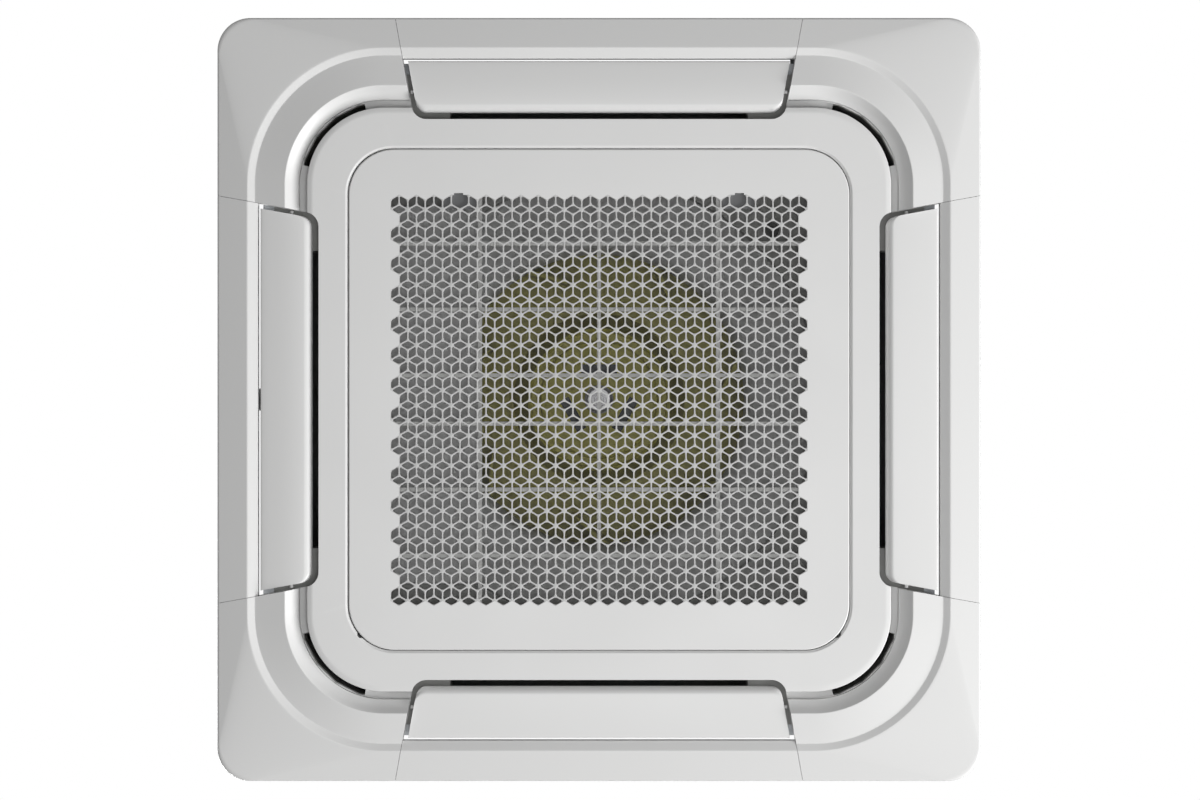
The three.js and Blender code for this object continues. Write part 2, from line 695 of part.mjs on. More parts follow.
function intakeGrille() {
  const plate = taper([
    [DOOR_HALF - DOOR_EDGE_ROUND, DOOR_CORNER - DOOR_EDGE_ROUND, -FACE_DROP],
    [DOOR_HALF, DOOR_CORNER, -FACE_DROP + DOOR_EDGE_ROUND],
    [DOOR_HALF, DOOR_CORNER, DOOR_TOP],
  ]);
  const skirtCorner = DOOR_CORNER - SKIRT_INSET;
  const skirt = prism(roundedSquare(SKIRT_OUT, skirtCorner), DOOR_TOP - 0.5, SKIRT_TOP, [
    roundedSquare(SKIRT_OUT - SKIN, skirtCorner - SKIN),
  ]);
  const padAt = FILTER_HALF - 12;
  const pads = [];
  for (const [x, y] of [[-1, -0.7], [-1, 0.7], [1, -0.7], [1, 0.7]]) {
    pads.push(block(
      x * padAt - 6, x * padAt + 6, y * padAt - 6, y * padAt + 6, DOOR_TOP - 0.5, FILTER_Z - FIT,
    ));
  }
  const lugs = [];
  const notches = [];
  for (const hinge of [-HINGE_X, HINGE_X]) {
    const half = HINGE_ARM / 2;
    for (const side of [-1, 1]) {
      const inner = hinge + side * (half + 1);
      const outer = inner + side * 4;
      lugs.push(block(
        Math.min(inner, outer), Math.max(inner, outer), HINGE_AXIS - 4, HINGE_AXIS + 4,
        DOOR_TOP - 0.5, -HINGE_DROP + 4,
      ));
    }
    notches.push(block(
      hinge - half - 1, hinge + half + 1, HINGE_AXIS - 12, DOOR_HALF, DOOR_TOP, SKIRT_TOP + THROUGH,
    ));
    notches.push(block(
      hinge - half - 1, hinge + half + 1, HINGE_AXIS - 9, HINGE_AXIS + HINGE_PIN + FIT,
      -HINGE_DROP - HINGE_PIN - FIT, DOOR_TOP + THROUGH,
    ));
    const eye = half + 6;
    notches.push(rodX(HINGE_PIN + FIT, hinge - eye, hinge + eye, HINGE_AXIS, -HINGE_DROP));
  }
  const latchGates = [-LATCH_X, LATCH_X].map((x) => block(
    x - LATCH_HALF - 1, x + LATCH_HALF + 1, -SKIRT_OUT - THROUGH, -SKIRT_OUT + SKIN + THROUGH,
    DOOR_TOP, DOOR_TOP + LATCH_RISE + 1,
  ));
  const whole = join(plate, skirt, ...pads, ...lugs);
  return cut(whole, grilleCells(), ...notches, ...latchGates);
}

// Gooseneck that carries the grille's pin from the ring's inner wall
function grilleHinge() {
  const half = HINGE_ARM / 2;
  const front = RING_IN - FIT;
  const back = HINGE_AXIS - HINGE_PIN - 1 - HINGE_SHEET;
  const low = -HINGE_DROP - HINGE_PIN;
  const high = HINGE_ABOVE + HINGE_SHEET;
  const arm = block(-half, half, back, front, HINGE_ABOVE, high);
  const tab = block(-half, half, front - HINGE_SHEET, front, -HINGE_TAB_DROP, high);
  const drop = block(-half, half, back, back + HINGE_SHEET, low, high);
  const jaw = block(-half, half, back, HINGE_AXIS, low, -HINGE_DROP + HINGE_PIN);
  const pin = rodX(HINGE_PIN, -half - 5, half + 5, HINGE_AXIS, -HINGE_DROP);
  return join(arm, tab, drop, jaw, pin);
}

function grilleLatch() {
  const low = DOOR_TOP + FIT;
  const bar = low + 2.7;
  const top = DOOR_TOP + LATCH_RISE;
  const half = LATCH_HALF;
  const hook = -SKIRT_OUT - THROUGH;
  const plate = block(-20, 20, -LATCH_ROW - 11, -LATCH_ROW + 11, low, bar);
  const tongue = block(-half, half, hook - 4, -LATCH_ROW, low, bar);
  const riser = block(-half, half, hook - 4, hook, low, top);
  const nose = block(-half, half, -RING_IN - LATCH_TRAVEL + 1.5, hook, low + 2.2, top);
  return join(plate, tongue, riser, nose);
}

function mirroredStops(ribs, edge) {
  const stops = [-edge, edge];
  for (const rib of ribs) {
    stops.push(rib);
    if (rib !== 0) {
      stops.push(-rib);
    }
  }
  return stops.sort((a, b) => a - b);
}

function filterFrame() {
  const edge = FILTER_HALF - FILTER_RIB / 2;
  const xs = mirroredStops(FILTER_RIBS_X, edge);
  const ys = mirroredStops(FILTER_RIBS_Y, edge);
  const half = FILTER_RIB / 2;
  const holes = [];
  const whole = block(-FILTER_HALF, FILTER_HALF, -FILTER_HALF, FILTER_HALF, FILTER_Z - 1, 0);
  for (let i = 0; i + 1 < xs.length; i += 1) {
    for (let j = 0; j + 1 < ys.length; j += 1) {
      holes.push(block(
        xs[i] + half, xs[i + 1] - half, ys[j] + half, ys[j + 1] - half,
        FILTER_Z - THROUGH, FILTER_Z + FILTER_THICK + THROUGH,
      ));
    }
  }
  const outline = roundedSquare(FILTER_HALF, DOOR_CORNER - SKIRT_INSET, 3);
  return common(prism(outline, FILTER_Z, FILTER_Z + FILTER_THICK), cut(whole, ...holes));
}

function filterNet() {
  const bottom = FILTER_Z + FILTER_THICK + FIT;
  return prism(roundedSquare(FILTER_HALF - 1, DOOR_CORNER - SKIRT_INSET, 3), bottom, bottom + NET_THICK);
}

// ---------------------------------------------------------------- casing
function hangerPlaces() {
  return [[1, 1], [-1, 1], [-1, -1], [1, -1]].map(([x, y]) => [x * HANGER_X, y * HANGER_Y]);
}

function pipeHoles(grow) {
  const x0 = LINER_IN - 10;
  const x1 = CASING_OUT + 10;
  return [
    rodX(GAS_RADIUS + grow, x0, x1, -PIPE_Y, GAS_Z),
    rodX(LIQUID_RADIUS + grow, x0, x1, -PIPE_Y, LIQUID_Z),
    rodY(DRAIN_RADIUS + FIT, -x1, -x0, PIPE_Y, DRAIN_Z, 20),
  ];
}

function casingShell() {
  const wall = prism(casingOutline(CASING_OUT), BODY_BOTTOM, BODY_TOP);
  const inside = prism(casingOutline(CASING_IN), BODY_BOTTOM + SHEET, BODY_TOP + THROUGH);
  const mouth = prism(casingOutline(CASING_IN - FLANGE_IN), BODY_BOTTOM - THROUGH, BODY_TOP);
  const gland = rodX(GLAND_RADIUS + 0.5, -CASING_OUT - 10, -CASING_IN + 10, 0, GLAND_Z);
  return cut(wall, inside, mouth, gland, ...pipeHoles(2));
}

function casingTop() {
  const bottom = BODY_TOP + FIT;
  const top = bottom + SHEET;
  const plate = prism(casingOutline(CASING_OUT), bottom, top);
  const bead = turned([
    [MOUNT_RADIUS + 8, top - 0.5], [MOUNT_RADIUS + 24, top - 0.5],
    [MOUNT_RADIUS + 20, top + 4], [MOUNT_RADIUS + 12, top + 4],
  ], 28);
  const rib = block(MOUNT_RADIUS + 22, CASING_OUT - 60, -9, 9, top - 0.5, top + 4);
  const ribs = [0, 1, 2, 3].map((n) => rib.clone().rotateZ(QUARTER * (n + 0.5)));
  return join(plate, bead, ...ribs);
}

function insulationLiner() {
  const bottom = PAN_TOP + FIT;
  const top = BODY_TOP - FIT;
  const slab = top - LINER_THICK;
  return cut(
    prism(casingOutline(LINER_OUT), bottom, top),
    prism(casingOutline(LINER_IN), bottom - THROUGH, slab),
    rod(MOTOR_HOLE, slab - THROUGH, top + THROUGH, 28),
    ...pipeHoles(2),
  );
}

// A lug on the casing's cut corner: the slot is centred on the ceiling rod
function hangerBracket() {
  const wall = CASING_OUT + CORNER_APOTHEM + FIT;
  const rodOut = (HANGER_X + HANGER_Y) / ROOT2 - wall;
  const half = HANGER_WIDTH / 2;
  const back = block(0, HANGER_SHEET, -half, half, -25, 25);
  const lug = block(0, rodOut + 16, -half, half, -HANGER_SHEET / 2, HANGER_SHEET / 2);
  const slot = join(
    block(rodOut, rodOut + 30, -ROD_SLOT / 2, ROD_SLOT / 2, -20, 20),
    rod(ROD_SLOT / 2, -20, 20, 20).translate(rodOut, 0, 0),
  );
  const gusset = block(0, rodOut + 6, half - HANGER_SHEET, half, -HANGER_SHEET / 2, 16);
  return cut(join(back, lug, gusset, gusset.clone().translate(0, HANGER_SHEET - 2 * half, 0)), slot);
}

function drainPan() {
  const low = PAN_BOTTOM - THROUGH;
  const high = PAN_TOP + THROUGH;
  const duct = block(RING_OUT + 0.5, LINER_IN, -DUCT_HALF, DUCT_HALF, low, high);
  const groove = prism(roundedSquare(COIL_OUT + 4, COIL_CORNER + 4), COIL_FLOOR, high, [
    roundedSquare(COIL_IN - 4, COIL_CORNER - COIL_DEPTH),
  ]);
  const boxRecess = block(
    BOX_OUTER_X - 1, BOX_INNER_X, BOX_NEAR_Y - 1, BOX_FAR_Y + 1, low, BOX_TOP + FIT,
  );
  return cut(
    prism(casingOutline(LINER_OUT), PAN_BOTTOM, PAN_TOP),
    ...quarters(duct),
    cornerSlots(low, high),
    rod(BELL_RADIUS + 2, low, BELL_FACE + FIT, 32),
    rod(BELL_RADIUS - PAN_WALL, low, high, 32),
    groove,
    boxRecess,
    rod(SUMP_RADIUS, SUMP_FLOOR, high, 28).translate(PUMP_AT, -PUMP_AT, 0),
    rod(FLOAT_WELL, COIL_FLOOR - 10, high, 20).translate(FLOAT_X, FLOAT_Y, 0),
    rod(PLUG_RADIUS / 2 + FIT, low, high, 16).translate(PLUG_X, PLUG_Y, 0),
  );
}

function drainPlug() {
  const head = rod(PLUG_RADIUS, PAN_BOTTOM - FIT - 3, PAN_BOTTOM - FIT, 24);
  return join(head, rod(PLUG_RADIUS / 2, PAN_BOTTOM - 1, SUMP_FLOOR + 3, 16)).translate(PLUG_X, PLUG_Y, 0);
}

function panelSeal() {
  return prism(roundedSquare(RING_OUT - FIT, RING_R - FIT), FIT, SEAL_HEIGHT + FIT, [
    roundedSquare(RING_IN + 2, DOOR_CORNER + 2),
  ]);
}

// ---------------------------------------------------------------- fan and bell mouth
function bellMouth() {
  return turned([
    [BELL_RADIUS, BELL_Z], [BELL_RADIUS, BELL_FACE], [THROAT + 43, BELL_FACE],
    [THROAT + 19, BELL_FACE + 7], [THROAT + 6, BELL_FACE + 20], [THROAT + BELL_SKIN, BELL_TOP],
    [THROAT, BELL_TOP], [THROAT + 3, BELL_FACE + 18], [THROAT + 16, BELL_Z + 6], [THROAT + 42, BELL_Z],
  ], 32);
}

function fanBlade() {
  const inner = THROAT - 33;
  const outer = FAN_RADIUS - 1;
  const sweep = 0.62;
  const stations = 4;
  const front = [];
  const back = [];
  for (let n = 0; n <= stations; n += 1) {
    const share = n / stations;
    const radius = inner + (outer - inner) * share;
    const angle = -sweep * share ** 0.8;
    const half = 1.2 + 3.6 * Math.sin(Math.PI * Math.min(share * 1.15, 1));
    front.push(new THREE.Vector2(radius, half).rotateAround(new THREE.Vector2(), angle));
    back.unshift(new THREE.Vector2(radius, -half).rotateAround(new THREE.Vector2(), angle));
  }
  return prism([...front, ...back], BELL_TOP + 34, FAN_BACK + 1);
}

function fanWheel() {
  const mouth = THROAT + BELL_SKIN + 3.5;
  const low = BELL_TOP - 8;
  const shroud = turned([
    [mouth, low], [mouth + 2.5, low], [mouth + 5, low + 17], [mouth + 28, low + 33],
    [FAN_RADIUS, low + 46], [FAN_RADIUS, low + 49], [mouth + 26, low + 36], [mouth + 3, low + 20],
  ], 28);
  const grooveOut = HUB_RADIUS + HUB_GROOVE;
  const hub = turned([
    [SHAFT_RADIUS + FIT, BOSS_Z], [BOSS_RADIUS, BOSS_Z], [BOSS_RADIUS, HUB_Z], [HUB_RADIUS, HUB_Z],
    [HUB_RADIUS + 2, HUB_Z + 7], [grooveOut, HUB_Z + 7], [grooveOut + 2, HUB_Z + 2],
    [grooveOut + 5, HUB_Z + 3], [grooveOut + 26, FAN_BACK], [FAN_RADIUS, FAN_BACK],
    [FAN_RADIUS, FAN_BACK + 3], [grooveOut + 23, FAN_BACK + 3], [grooveOut, HUB_Z + 10],
    [HUB_RADIUS, HUB_Z + 10], [HUB_RADIUS - 3, HUB_Z + 3], [BOSS_RADIUS, HUB_Z + 3],
    [BOSS_RADIUS, HUB_Z + 9], [SHAFT_RADIUS + FIT, HUB_Z + 9],
  ], 28);
  const blades = [];
  for (let n = 0; n < BLADES; n += 1) {
    blades.push(fanBlade().rotateZ((n / BLADES) * 2 * Math.PI));
  }
  const vents = [];
  for (let n = 0; n < 3; n += 1) {
    const vent = block(-23, 23, -45, -32, HUB_Z - THROUGH, HUB_Z + 3 + THROUGH);
    vents.push(vent.rotateZ((n / 3) * 2 * Math.PI));
  }
  return cut(join(hub, shroud, ...blades), ...vents);
}

function fanNut() {
  const top = BOSS_Z - FIT - WASHER_THICK - FIT;
  return cut(
    rod(NUT_RADIUS, top - NUT_HEIGHT, top, 6),
    rod(SHAFT_RADIUS + FIT, top - NUT_HEIGHT - THROUGH, top + THROUGH, 16),
  );
}

function fanWasher() {
  const top = BOSS_Z - FIT;
  return tube(WASHER_RADIUS, SHAFT_RADIUS + FIT, top - WASHER_THICK, top, 16);
}

function motorShaft() {
  const end = BOSS_Z - WASHER_THICK - NUT_HEIGHT - 3;
  return rod(SHAFT_RADIUS, end, MOTOR_BOTTOM - FIT, 16);
}

function motorHousing() {
  const flange = MOTOR_TOP - 3;
  return turned([
    [0, MOTOR_BOTTOM], [MOTOR_RADIUS - 8, MOTOR_BOTTOM], [MOTOR_RADIUS, MOTOR_BOTTOM + 8],
    [MOTOR_RADIUS, flange], [MOTOR_RADIUS + 10, flange], [MOTOR_RADIUS + 10, MOTOR_TOP], [0, MOTOR_TOP],
  ], 28);
}

function motorMount() {
  const bottom = MOTOR_TOP + FIT;
  const plate = rod(MOUNT_RADIUS, bottom, bottom + MOUNT_THICK, 28);
  const windows = [];
  for (let n = 0; n < 3; n += 1) {
    const window = rod(20, bottom - THROUGH, bottom + MOUNT_THICK + THROUGH, 14);
    windows.push(window.translate(-GROMMET_AT + 15, 0, 0).rotateZ((n / 3) * 2 * Math.PI));
  }
  return cut(plate, ...windows);
}

function motorGrommet() {
  const bottom = MOTOR_TOP + FIT + MOUNT_THICK + FIT;
  const middle = (bottom + BODY_TOP) / 2;
  return turned([
    [0, bottom], [GROMMET_RADIUS, bottom], [GROMMET_RADIUS, middle - 3], [GROMMET_RADIUS - 3, middle],
    [GROMMET_RADIUS, middle + 3], [GROMMET_RADIUS, BODY_TOP], [0, BODY_TOP],
  ], 12);
}

// ---------------------------------------------------------------- coil and pipes
function coil() {
  return cut(
    prism(roundedSquare(COIL_OUT, COIL_CORNER), COIL_BOTTOM, COIL_TOP, [
      roundedSquare(COIL_IN, COIL_CORNER - COIL_DEPTH),
    ]),
    block(COIL_END, COIL_OUT + 1, -COIL_OUT - 1, -COIL_END, COIL_BOTTOM - THROUGH, COIL_TOP + THROUGH),
  );
}

function headerX() {
  return COIL_OUT - GAS_HEADER - 4;
}

function coilEndPlate() {
  const y = -COIL_END - FIT;
  const plate = block(COIL_IN, COIL_OUT, y - 2, y, COIL_BOTTOM, COIL_TOP);
  const stubs = [];
  for (let n = 0; n < 4; n += 1) {
    stubs.push(rodY(4, -PIPE_Y + GAS_HEADER + FIT, y - 1, headerX(), 80 + n * 32, 10));
  }
  return join(plate, ...stubs);
}

function distributorX() {
  return headerX() - GAS_HEADER - LIQUID_HEADER - 6;
}

function gasPipe() {
  return rodX(GAS_RADIUS, headerX() + GAS_HEADER + FIT, PIPE_END, -PIPE_Y, GAS_Z);
}

function liquidPipe() {
  return rodX(LIQUID_RADIUS, distributorX() + LIQUID_HEADER + FIT, PIPE_END, -PIPE_Y, LIQUID_Z);
}

function liquidDistributor() {
  const tubeUp = rod(LIQUID_HEADER, COIL_BOTTOM + 5, LIQUID_Z + 15, 14);
  const at = new THREE.Vector3(distributorX(), -PIPE_Y, 0);
  const stub = rodY(3, -PIPE_Y, -COIL_END - 2 - 2 * FIT, distributorX(), LIQUID_Z - 85, 10);
  return join(tubeUp.translate(at.x, at.y, 0), stub);
}

function flareNut(radius, z) {
  const from = PIPE_END - NUT_LENGTH + 6;
  return cut(
    rod(radius * 1.75, from, PIPE_END + 6, 6).rotateY(QUARTER).translate(0, -PIPE_Y, z),
    rodX(radius + FIT, from - THROUGH, PIPE_END + 6 + THROUGH, -PIPE_Y, z),
  );
}

// ---------------------------------------------------------------- drain pump
function pumpBody() {
  const roof = IMPELLER_Z + IMPELLER_HEIGHT + 4;
  const inside = IMPELLER_HOUSING - PUMP_WALL;
  return turned([
    [0, roof], [inside, roof], [inside, PUMP_MOUTH_Z], [IMPELLER_HOUSING, PUMP_MOUTH_Z],
    [IMPELLER_HOUSING, roof + PUMP_WALL + 2], [PUMP_NECK, roof + PUMP_WALL + 5],
    [PUMP_NECK, PUMP_MOTOR_Z - 4], [PUMP_RADIUS, PUMP_MOTOR_Z], [PUMP_RADIUS, PUMP_TOP], [0, PUMP_TOP],
  ], 20);
}

function pumpImpeller() {
  const top = IMPELLER_Z + IMPELLER_HEIGHT;
  const disc = turned([
    [0, IMPELLER_Z], [IMPELLER_RADIUS, IMPELLER_Z], [IMPELLER_RADIUS, IMPELLER_Z + 2],
    [2.5, IMPELLER_Z + 2], [2.5, top + 4 - FIT], [0, top + 4 - FIT],
  ], 12);
  const paddle = block(-IMPELLER_RADIUS, IMPELLER_RADIUS, -1, 1, IMPELLER_Z + 1, top);
  return join(disc, paddle, paddle.clone().rotateZ(QUARTER));
}

function pumpBracket() {
  const from = PUMP_AT * ROOT2 - PUMP_RADIUS + 6;
  const to = LINER_IN + CORNER_APOTHEM - FIT;
  const bottom = PUMP_TOP + FIT;
  const plate = block(from, to, -12, 12, bottom, bottom + 2.5);
  const upright = block(to - 2.5, to, -12, 12, bottom, bottom + 30);
  return geometryOf(join(plate, upright)).rotateZ(-QUARTER / 2);
}

function drainHose() {
  const route = [
    [PUMP_AT + 8, -PUMP_AT - 4, HOSE_START], [PUMP_AT + 20, -PUMP_AT - 18, HOSE_START],
    [PIPE_Y - 3, -PIPE_Y - 20, HOSE_START + 6], [PIPE_Y, -PIPE_Y - 50, HOSE_START + 26],
    [PIPE_Y, -PIPE_Y - 80, DRAIN_Z - 30], [PIPE_Y, -PIPE_Y - 108, DRAIN_Z - 5],
    [PIPE_Y, -LINER_IN + 14, DRAIN_Z], [PIPE_Y, -LINER_IN, DRAIN_Z],
  ];
  const places = route.map((point) => new THREE.Vector3(...point));
  const curve = new THREE.CatmullRomCurve3(places, false, 'centripetal');
  const section = new THREE.Shape();
  for (let n = 0; n < 10; n += 1) {
    const angle = (n / 10) * 2 * Math.PI;
    const x = HOSE_RADIUS * Math.cos(angle);
    const y = HOSE_RADIUS * Math.sin(angle);
    if (n === 0) {
      section.moveTo(x, y);
    } else {
      section.lineTo(x, y);
    }
  }
  return cut(new THREE.ExtrudeGeometry(section, { steps: 14, bevelEnabled: false, extrudePath: curve }),
    rod(PUMP_NECK + FIT, HOSE_START - 20, HOSE_START + 20, 20).translate(PUMP_AT, -PUMP_AT, 0));
}

function drainOutlet() {
  return cut(
    rodY(DRAIN_RADIUS, -CASING_OUT - DRAIN_LENGTH, -LINER_IN - FIT, PIPE_Y, DRAIN_Z, 20),
    rodY(DRAIN_RADIUS - 3, -CASING_OUT - DRAIN_LENGTH - THROUGH, -LINER_IN - 6, PIPE_Y, DRAIN_Z, 20),
  );
}

function floatStem() {
  return turned([
    [0, 0], [8, 0], [8, 2], [3, 2], [3, FLOAT_HEIGHT - 3], [8, FLOAT_HEIGHT - 3], [8, FLOAT_HEIGHT],
    [0, FLOAT_HEIGHT],
  ], 12);
}

function floatRing() {
  return tube(FLOAT_RADIUS, 3.5, 2 + FIT, 16, 14);
}

// ---------------------------------------------------------------- electrical box
function electricalBox() {
  const outer = block(BOX_OUTER_X, BOX_INNER_X - 1, BOX_NEAR_Y, BOX_FAR_Y, BOX_BOTTOM, BOX_TOP);
  const inner = block(
    BOX_OUTER_X + SHEET, BOX_INNER_X - 1 - SHEET, BOX_NEAR_Y + SHEET, BOX_FAR_Y - SHEET,
    BOX_BOTTOM - THROUGH, BOX_TOP - SHEET,
  );
  return cut(outer, inner);
}

function electricalCover() {
  const top = BOX_BOTTOM - FIT;
  return block(BOX_OUTER_X, BOX_INNER_X, BOX_NEAR_Y, BOX_FAR_Y, top - COVER_THICK, top);
}

function controlBoard() {
  const top = BOX_TOP - SHEET - FIT;
  const left = BOX_OUTER_X + BOARD_MARGIN;
  const right = BOX_INNER_X - BOARD_MARGIN;
  const near = BOX_NEAR_Y + BOARD_FROM_END;
  const low = top - BOARD_THICK;
  const board = block(left, right, near, near + BOARD_LENGTH, low, top);
  const relay = block(left + 18, left + 18 + RELAY, near + 20, near + 20 + RELAY, low - 18, top - 1);
  const sink = right - 17;
  const heatsink = block(sink - SINK_WIDTH, sink, near + 90, near + 90 + SINK_LENGTH, low - 26, top - 1);
  const choke = rod(CHOKE_RADIUS, low - 24, top - 1, 20).translate(left + 33, near + 170, 0);
  return join(board, relay, heatsink, choke);
}

function terminalBlock() {
  const top = BOX_TOP - SHEET - FIT;
  const left = BOX_OUTER_X + TERMINAL_INSET;
  const right = BOX_INNER_X - TERMINAL_INSET;
  const near = BOX_FAR_Y - TERMINAL_FROM_END - TERMINAL_LENGTH;
  const base = block(left, right, near, near + TERMINAL_LENGTH, top - 10, top);
  const walls = [];
  for (let n = 0; n < 6; n += 1) {
    const at = near + 1 + n * (TERMINAL_LENGTH - 4) / 5;
    walls.push(block(left, right, at, at + 2, top - 22, top - 9));
  }
  return join(base, ...walls);
}

function cableGland() {
  const gland = rodX(GLAND_RADIUS, -CASING_OUT - 10, -LINER_OUT - FIT, 0, GLAND_Z);
  const nut = rod(GLAND_NUT, CASING_OUT + FIT, CASING_OUT + 9, 6).rotateY(-QUARTER);
  return cut(
    join(gland, nut.translate(0, 0, GLAND_Z)),
    rodX(GLAND_RADIUS - 3.5, -CASING_OUT - 20, -CASING_IN - FIT, 0, GLAND_Z),
  );
}

// ---------------------------------------------------------------- finishes
function finish(color, roughness, metalness = 0) {
  return () => new THREE.MeshStandardMaterial({ color, roughness, metalness });
}

const WHITE_PLASTIC = finish(0xe6e6e4, 0.45);
const VANE_PLASTIC = finish(0xe2e2e0, 0.4);
const GREY_PLASTIC = finish(0x4d4d4d, 0.5);
const FILTER_GREY = finish(0x9a9a98, 0.7);
const NET_GREY = finish(0x6b6b6b, 0.9);
const GALVANISED = finish(0xb4b8ba, 0.4, 0.9);
const FOAM = finish(0x8c8d8d, 0.95);
const PAN_WHITE = finish(0xbfbfbd, 0.85);
const FAN_OLIVE = finish(0x5d5a2c, 0.5);
const STEEL = finish(0x9a9c9e, 0.3, 1);
const MOTOR_GREY = finish(0x3e4246, 0.5, 0.6);
const RUBBER = finish(0x1c1c1c, 0.9);
const ALUMINIUM = finish(0xc3c7ca, 0.4, 0.9);
const COPPER = finish(0xb4683a, 0.35, 1);
const BRASS = finish(0xb89a4a, 0.35, 1);
const BOARD_GREEN = finish(0x2d6a3f, 0.6);

// ---------------------------------------------------------------- assembly
const unit = new THREE.Group();

function piece(parent, name, shape, material, place = [0, 0, 0]) {
  const geometry = geometryOf(shape);
  const mesh = new THREE.Mesh(geometry, material());
  mesh.name = name;
  mesh.position.set(...place);
  parent.add(mesh);
  return mesh;
}

function subGroup(parent, turn = 0) {
  const group = new THREE.Group();
  group.rotation.z = turn;
  parent.add(group);
  return group;
}

const SIDE_NAMES = ['right', 'hinge', 'left', 'latch'];
const CORNER_NAMES = ['right_hinge', 'left_hinge', 'left_latch', 'right_latch'];

const panel = subGroup(unit);
piece(panel, 'panel_frame', panelFrame(), WHITE_PLASTIC);
piece(panel, 'panel_seal', panelSeal(), FOAM);
SIDE_NAMES.forEach((side, turn) => {
  const group = subGroup(panel, turn * QUARTER);
  piece(group, `vane_${side}`, vane(), VANE_PLASTIC, [VANE_AXIS, 0, -VANE_AXIS_DROP]);
  const motorAt = [VANE_AXIS, stepperFrom(), -VANE_AXIS_DROP];
  piece(group, `vane_motor_${side}`, vaneStepper(), PAN_WHITE, motorAt);
});
CORNER_NAMES.forEach((corner, turn) => {
  piece(subGroup(panel, turn * QUARTER), `corner_cover_${corner}`, cornerCover(), WHITE_PLASTIC);
});

const grille = subGroup(panel);
piece(grille, 'intake_grille', intakeGrille(), WHITE_PLASTIC);
piece(grille, 'filter_frame', filterFrame(), FILTER_GREY);
piece(grille, 'filter_net', filterNet(), NET_GREY);
[['left', -1], ['right', 1]].forEach(([side, sign]) => {
  piece(grille, `grille_latch_${side}`, grilleLatch(), GREY_PLASTIC, [sign * LATCH_X, 0, 0]);
  piece(panel, `grille_hinge_${side}`, grilleHinge(), WHITE_PLASTIC, [sign * HINGE_X, 0, 0]);
});

const body = subGroup(unit);
piece(body, 'casing_shell', casingShell(), GALVANISED);
piece(body, 'casing_top', casingTop(), GALVANISED);
piece(body, 'insulation_liner', insulationLiner(), FOAM);
piece(body, 'drain_pan', drainPan(), PAN_WHITE);
piece(body, 'drain_plug', drainPlug(), RUBBER);
const hangerWall = CASING_OUT + CORNER_APOTHEM + FIT;
const hangerShift = (HANGER_X - HANGER_Y) / ROOT2;
CORNER_NAMES.forEach((corner, turn) => {
  const group = subGroup(body, QUARTER * (turn + 0.5));
  const along = turn % 2 === 0 ? -hangerShift : hangerShift;
  piece(group, `hanger_${corner}`, hangerBracket(), GALVANISED, [hangerWall, along, HANGER_Z]);
});

const blower = subGroup(unit);
piece(blower, 'bell_mouth', bellMouth(), GREY_PLASTIC);
piece(blower, 'fan_wheel', fanWheel(), FAN_OLIVE);
piece(blower, 'fan_washer', fanWasher(), STEEL);
piece(blower, 'fan_nut', fanNut(), STEEL);
piece(blower, 'motor_shaft', motorShaft(), STEEL);
piece(blower, 'motor_housing', motorHousing(), MOTOR_GREY);
piece(blower, 'motor_mount', motorMount(), GALVANISED);
for (let n = 0; n < 3; n += 1) {
  const group = subGroup(blower, (n / 3) * 2 * Math.PI);
  piece(group, `motor_grommet_${n + 1}`, motorGrommet(), RUBBER, [GROMMET_AT, 0, 0]);
}

const refrigerant = subGroup(unit);
piece(refrigerant, 'coil', coil(), ALUMINIUM);
piece(refrigerant, 'coil_end_plate', coilEndPlate(), COPPER);
const headerFoot = COIL_BOTTOM + 5;
const gasHeader = rod(GAS_HEADER, headerFoot, GAS_Z + 30, 18);
piece(refrigerant, 'gas_header', gasHeader, COPPER, [headerX(), -PIPE_Y, 0]);
piece(refrigerant, 'liquid_distributor', liquidDistributor(), COPPER);
piece(refrigerant, 'gas_pipe', gasPipe(), COPPER);
piece(refrigerant, 'liquid_pipe', liquidPipe(), COPPER);
piece(refrigerant, 'gas_flare_nut', flareNut(GAS_RADIUS, GAS_Z), BRASS);
piece(refrigerant, 'liquid_flare_nut', flareNut(LIQUID_RADIUS, LIQUID_Z), BRASS);

const drain = subGroup(unit);
const pumpPlace = [PUMP_AT, -PUMP_AT, 0];
piece(drain, 'pump_body', pumpBody(), GREY_PLASTIC, pumpPlace);
piece(drain, 'pump_impeller', pumpImpeller(), WHITE_PLASTIC, pumpPlace);
piece(drain, 'pump_bracket', pumpBracket(), GALVANISED);
piece(drain, 'drain_hose', drainHose(), RUBBER);
piece(drain, 'drain_outlet', drainOutlet(), GREY_PLASTIC);
const floatPlace = [FLOAT_X, FLOAT_Y, COIL_FLOOR - 10 + FIT];
piece(drain, 'float_stem', floatStem(), WHITE_PLASTIC, floatPlace);
piece(drain, 'float_ring', floatRing(), GREY_PLASTIC, floatPlace);

const electrics = subGroup(unit);
piece(electrics, 'electrical_box', electricalBox(), GALVANISED);
piece(electrics, 'electrical_cover', electricalCover(), GREY_PLASTIC);
piece(electrics, 'control_board', controlBoard(), BOARD_GREEN);
piece(electrics, 'terminal_block', terminalBlock(), GREY_PLASTIC);
piece(electrics, 'cable_gland', cableGland(), RUBBER);

export default unit;
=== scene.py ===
# %% [markdown]
# # A ceiling cassette air conditioner, seen from below
# The unit hangs in the ceiling void and only its square panel shows in the room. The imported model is
# loaded first and stays as it is: it says where every piece is and what moves. The pieces that show
# most are then modelled again, smoother and finer, each in the place that the model gives.

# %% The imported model
import json
import math

import bmesh
import bpy
from mathutils import Matrix, Vector


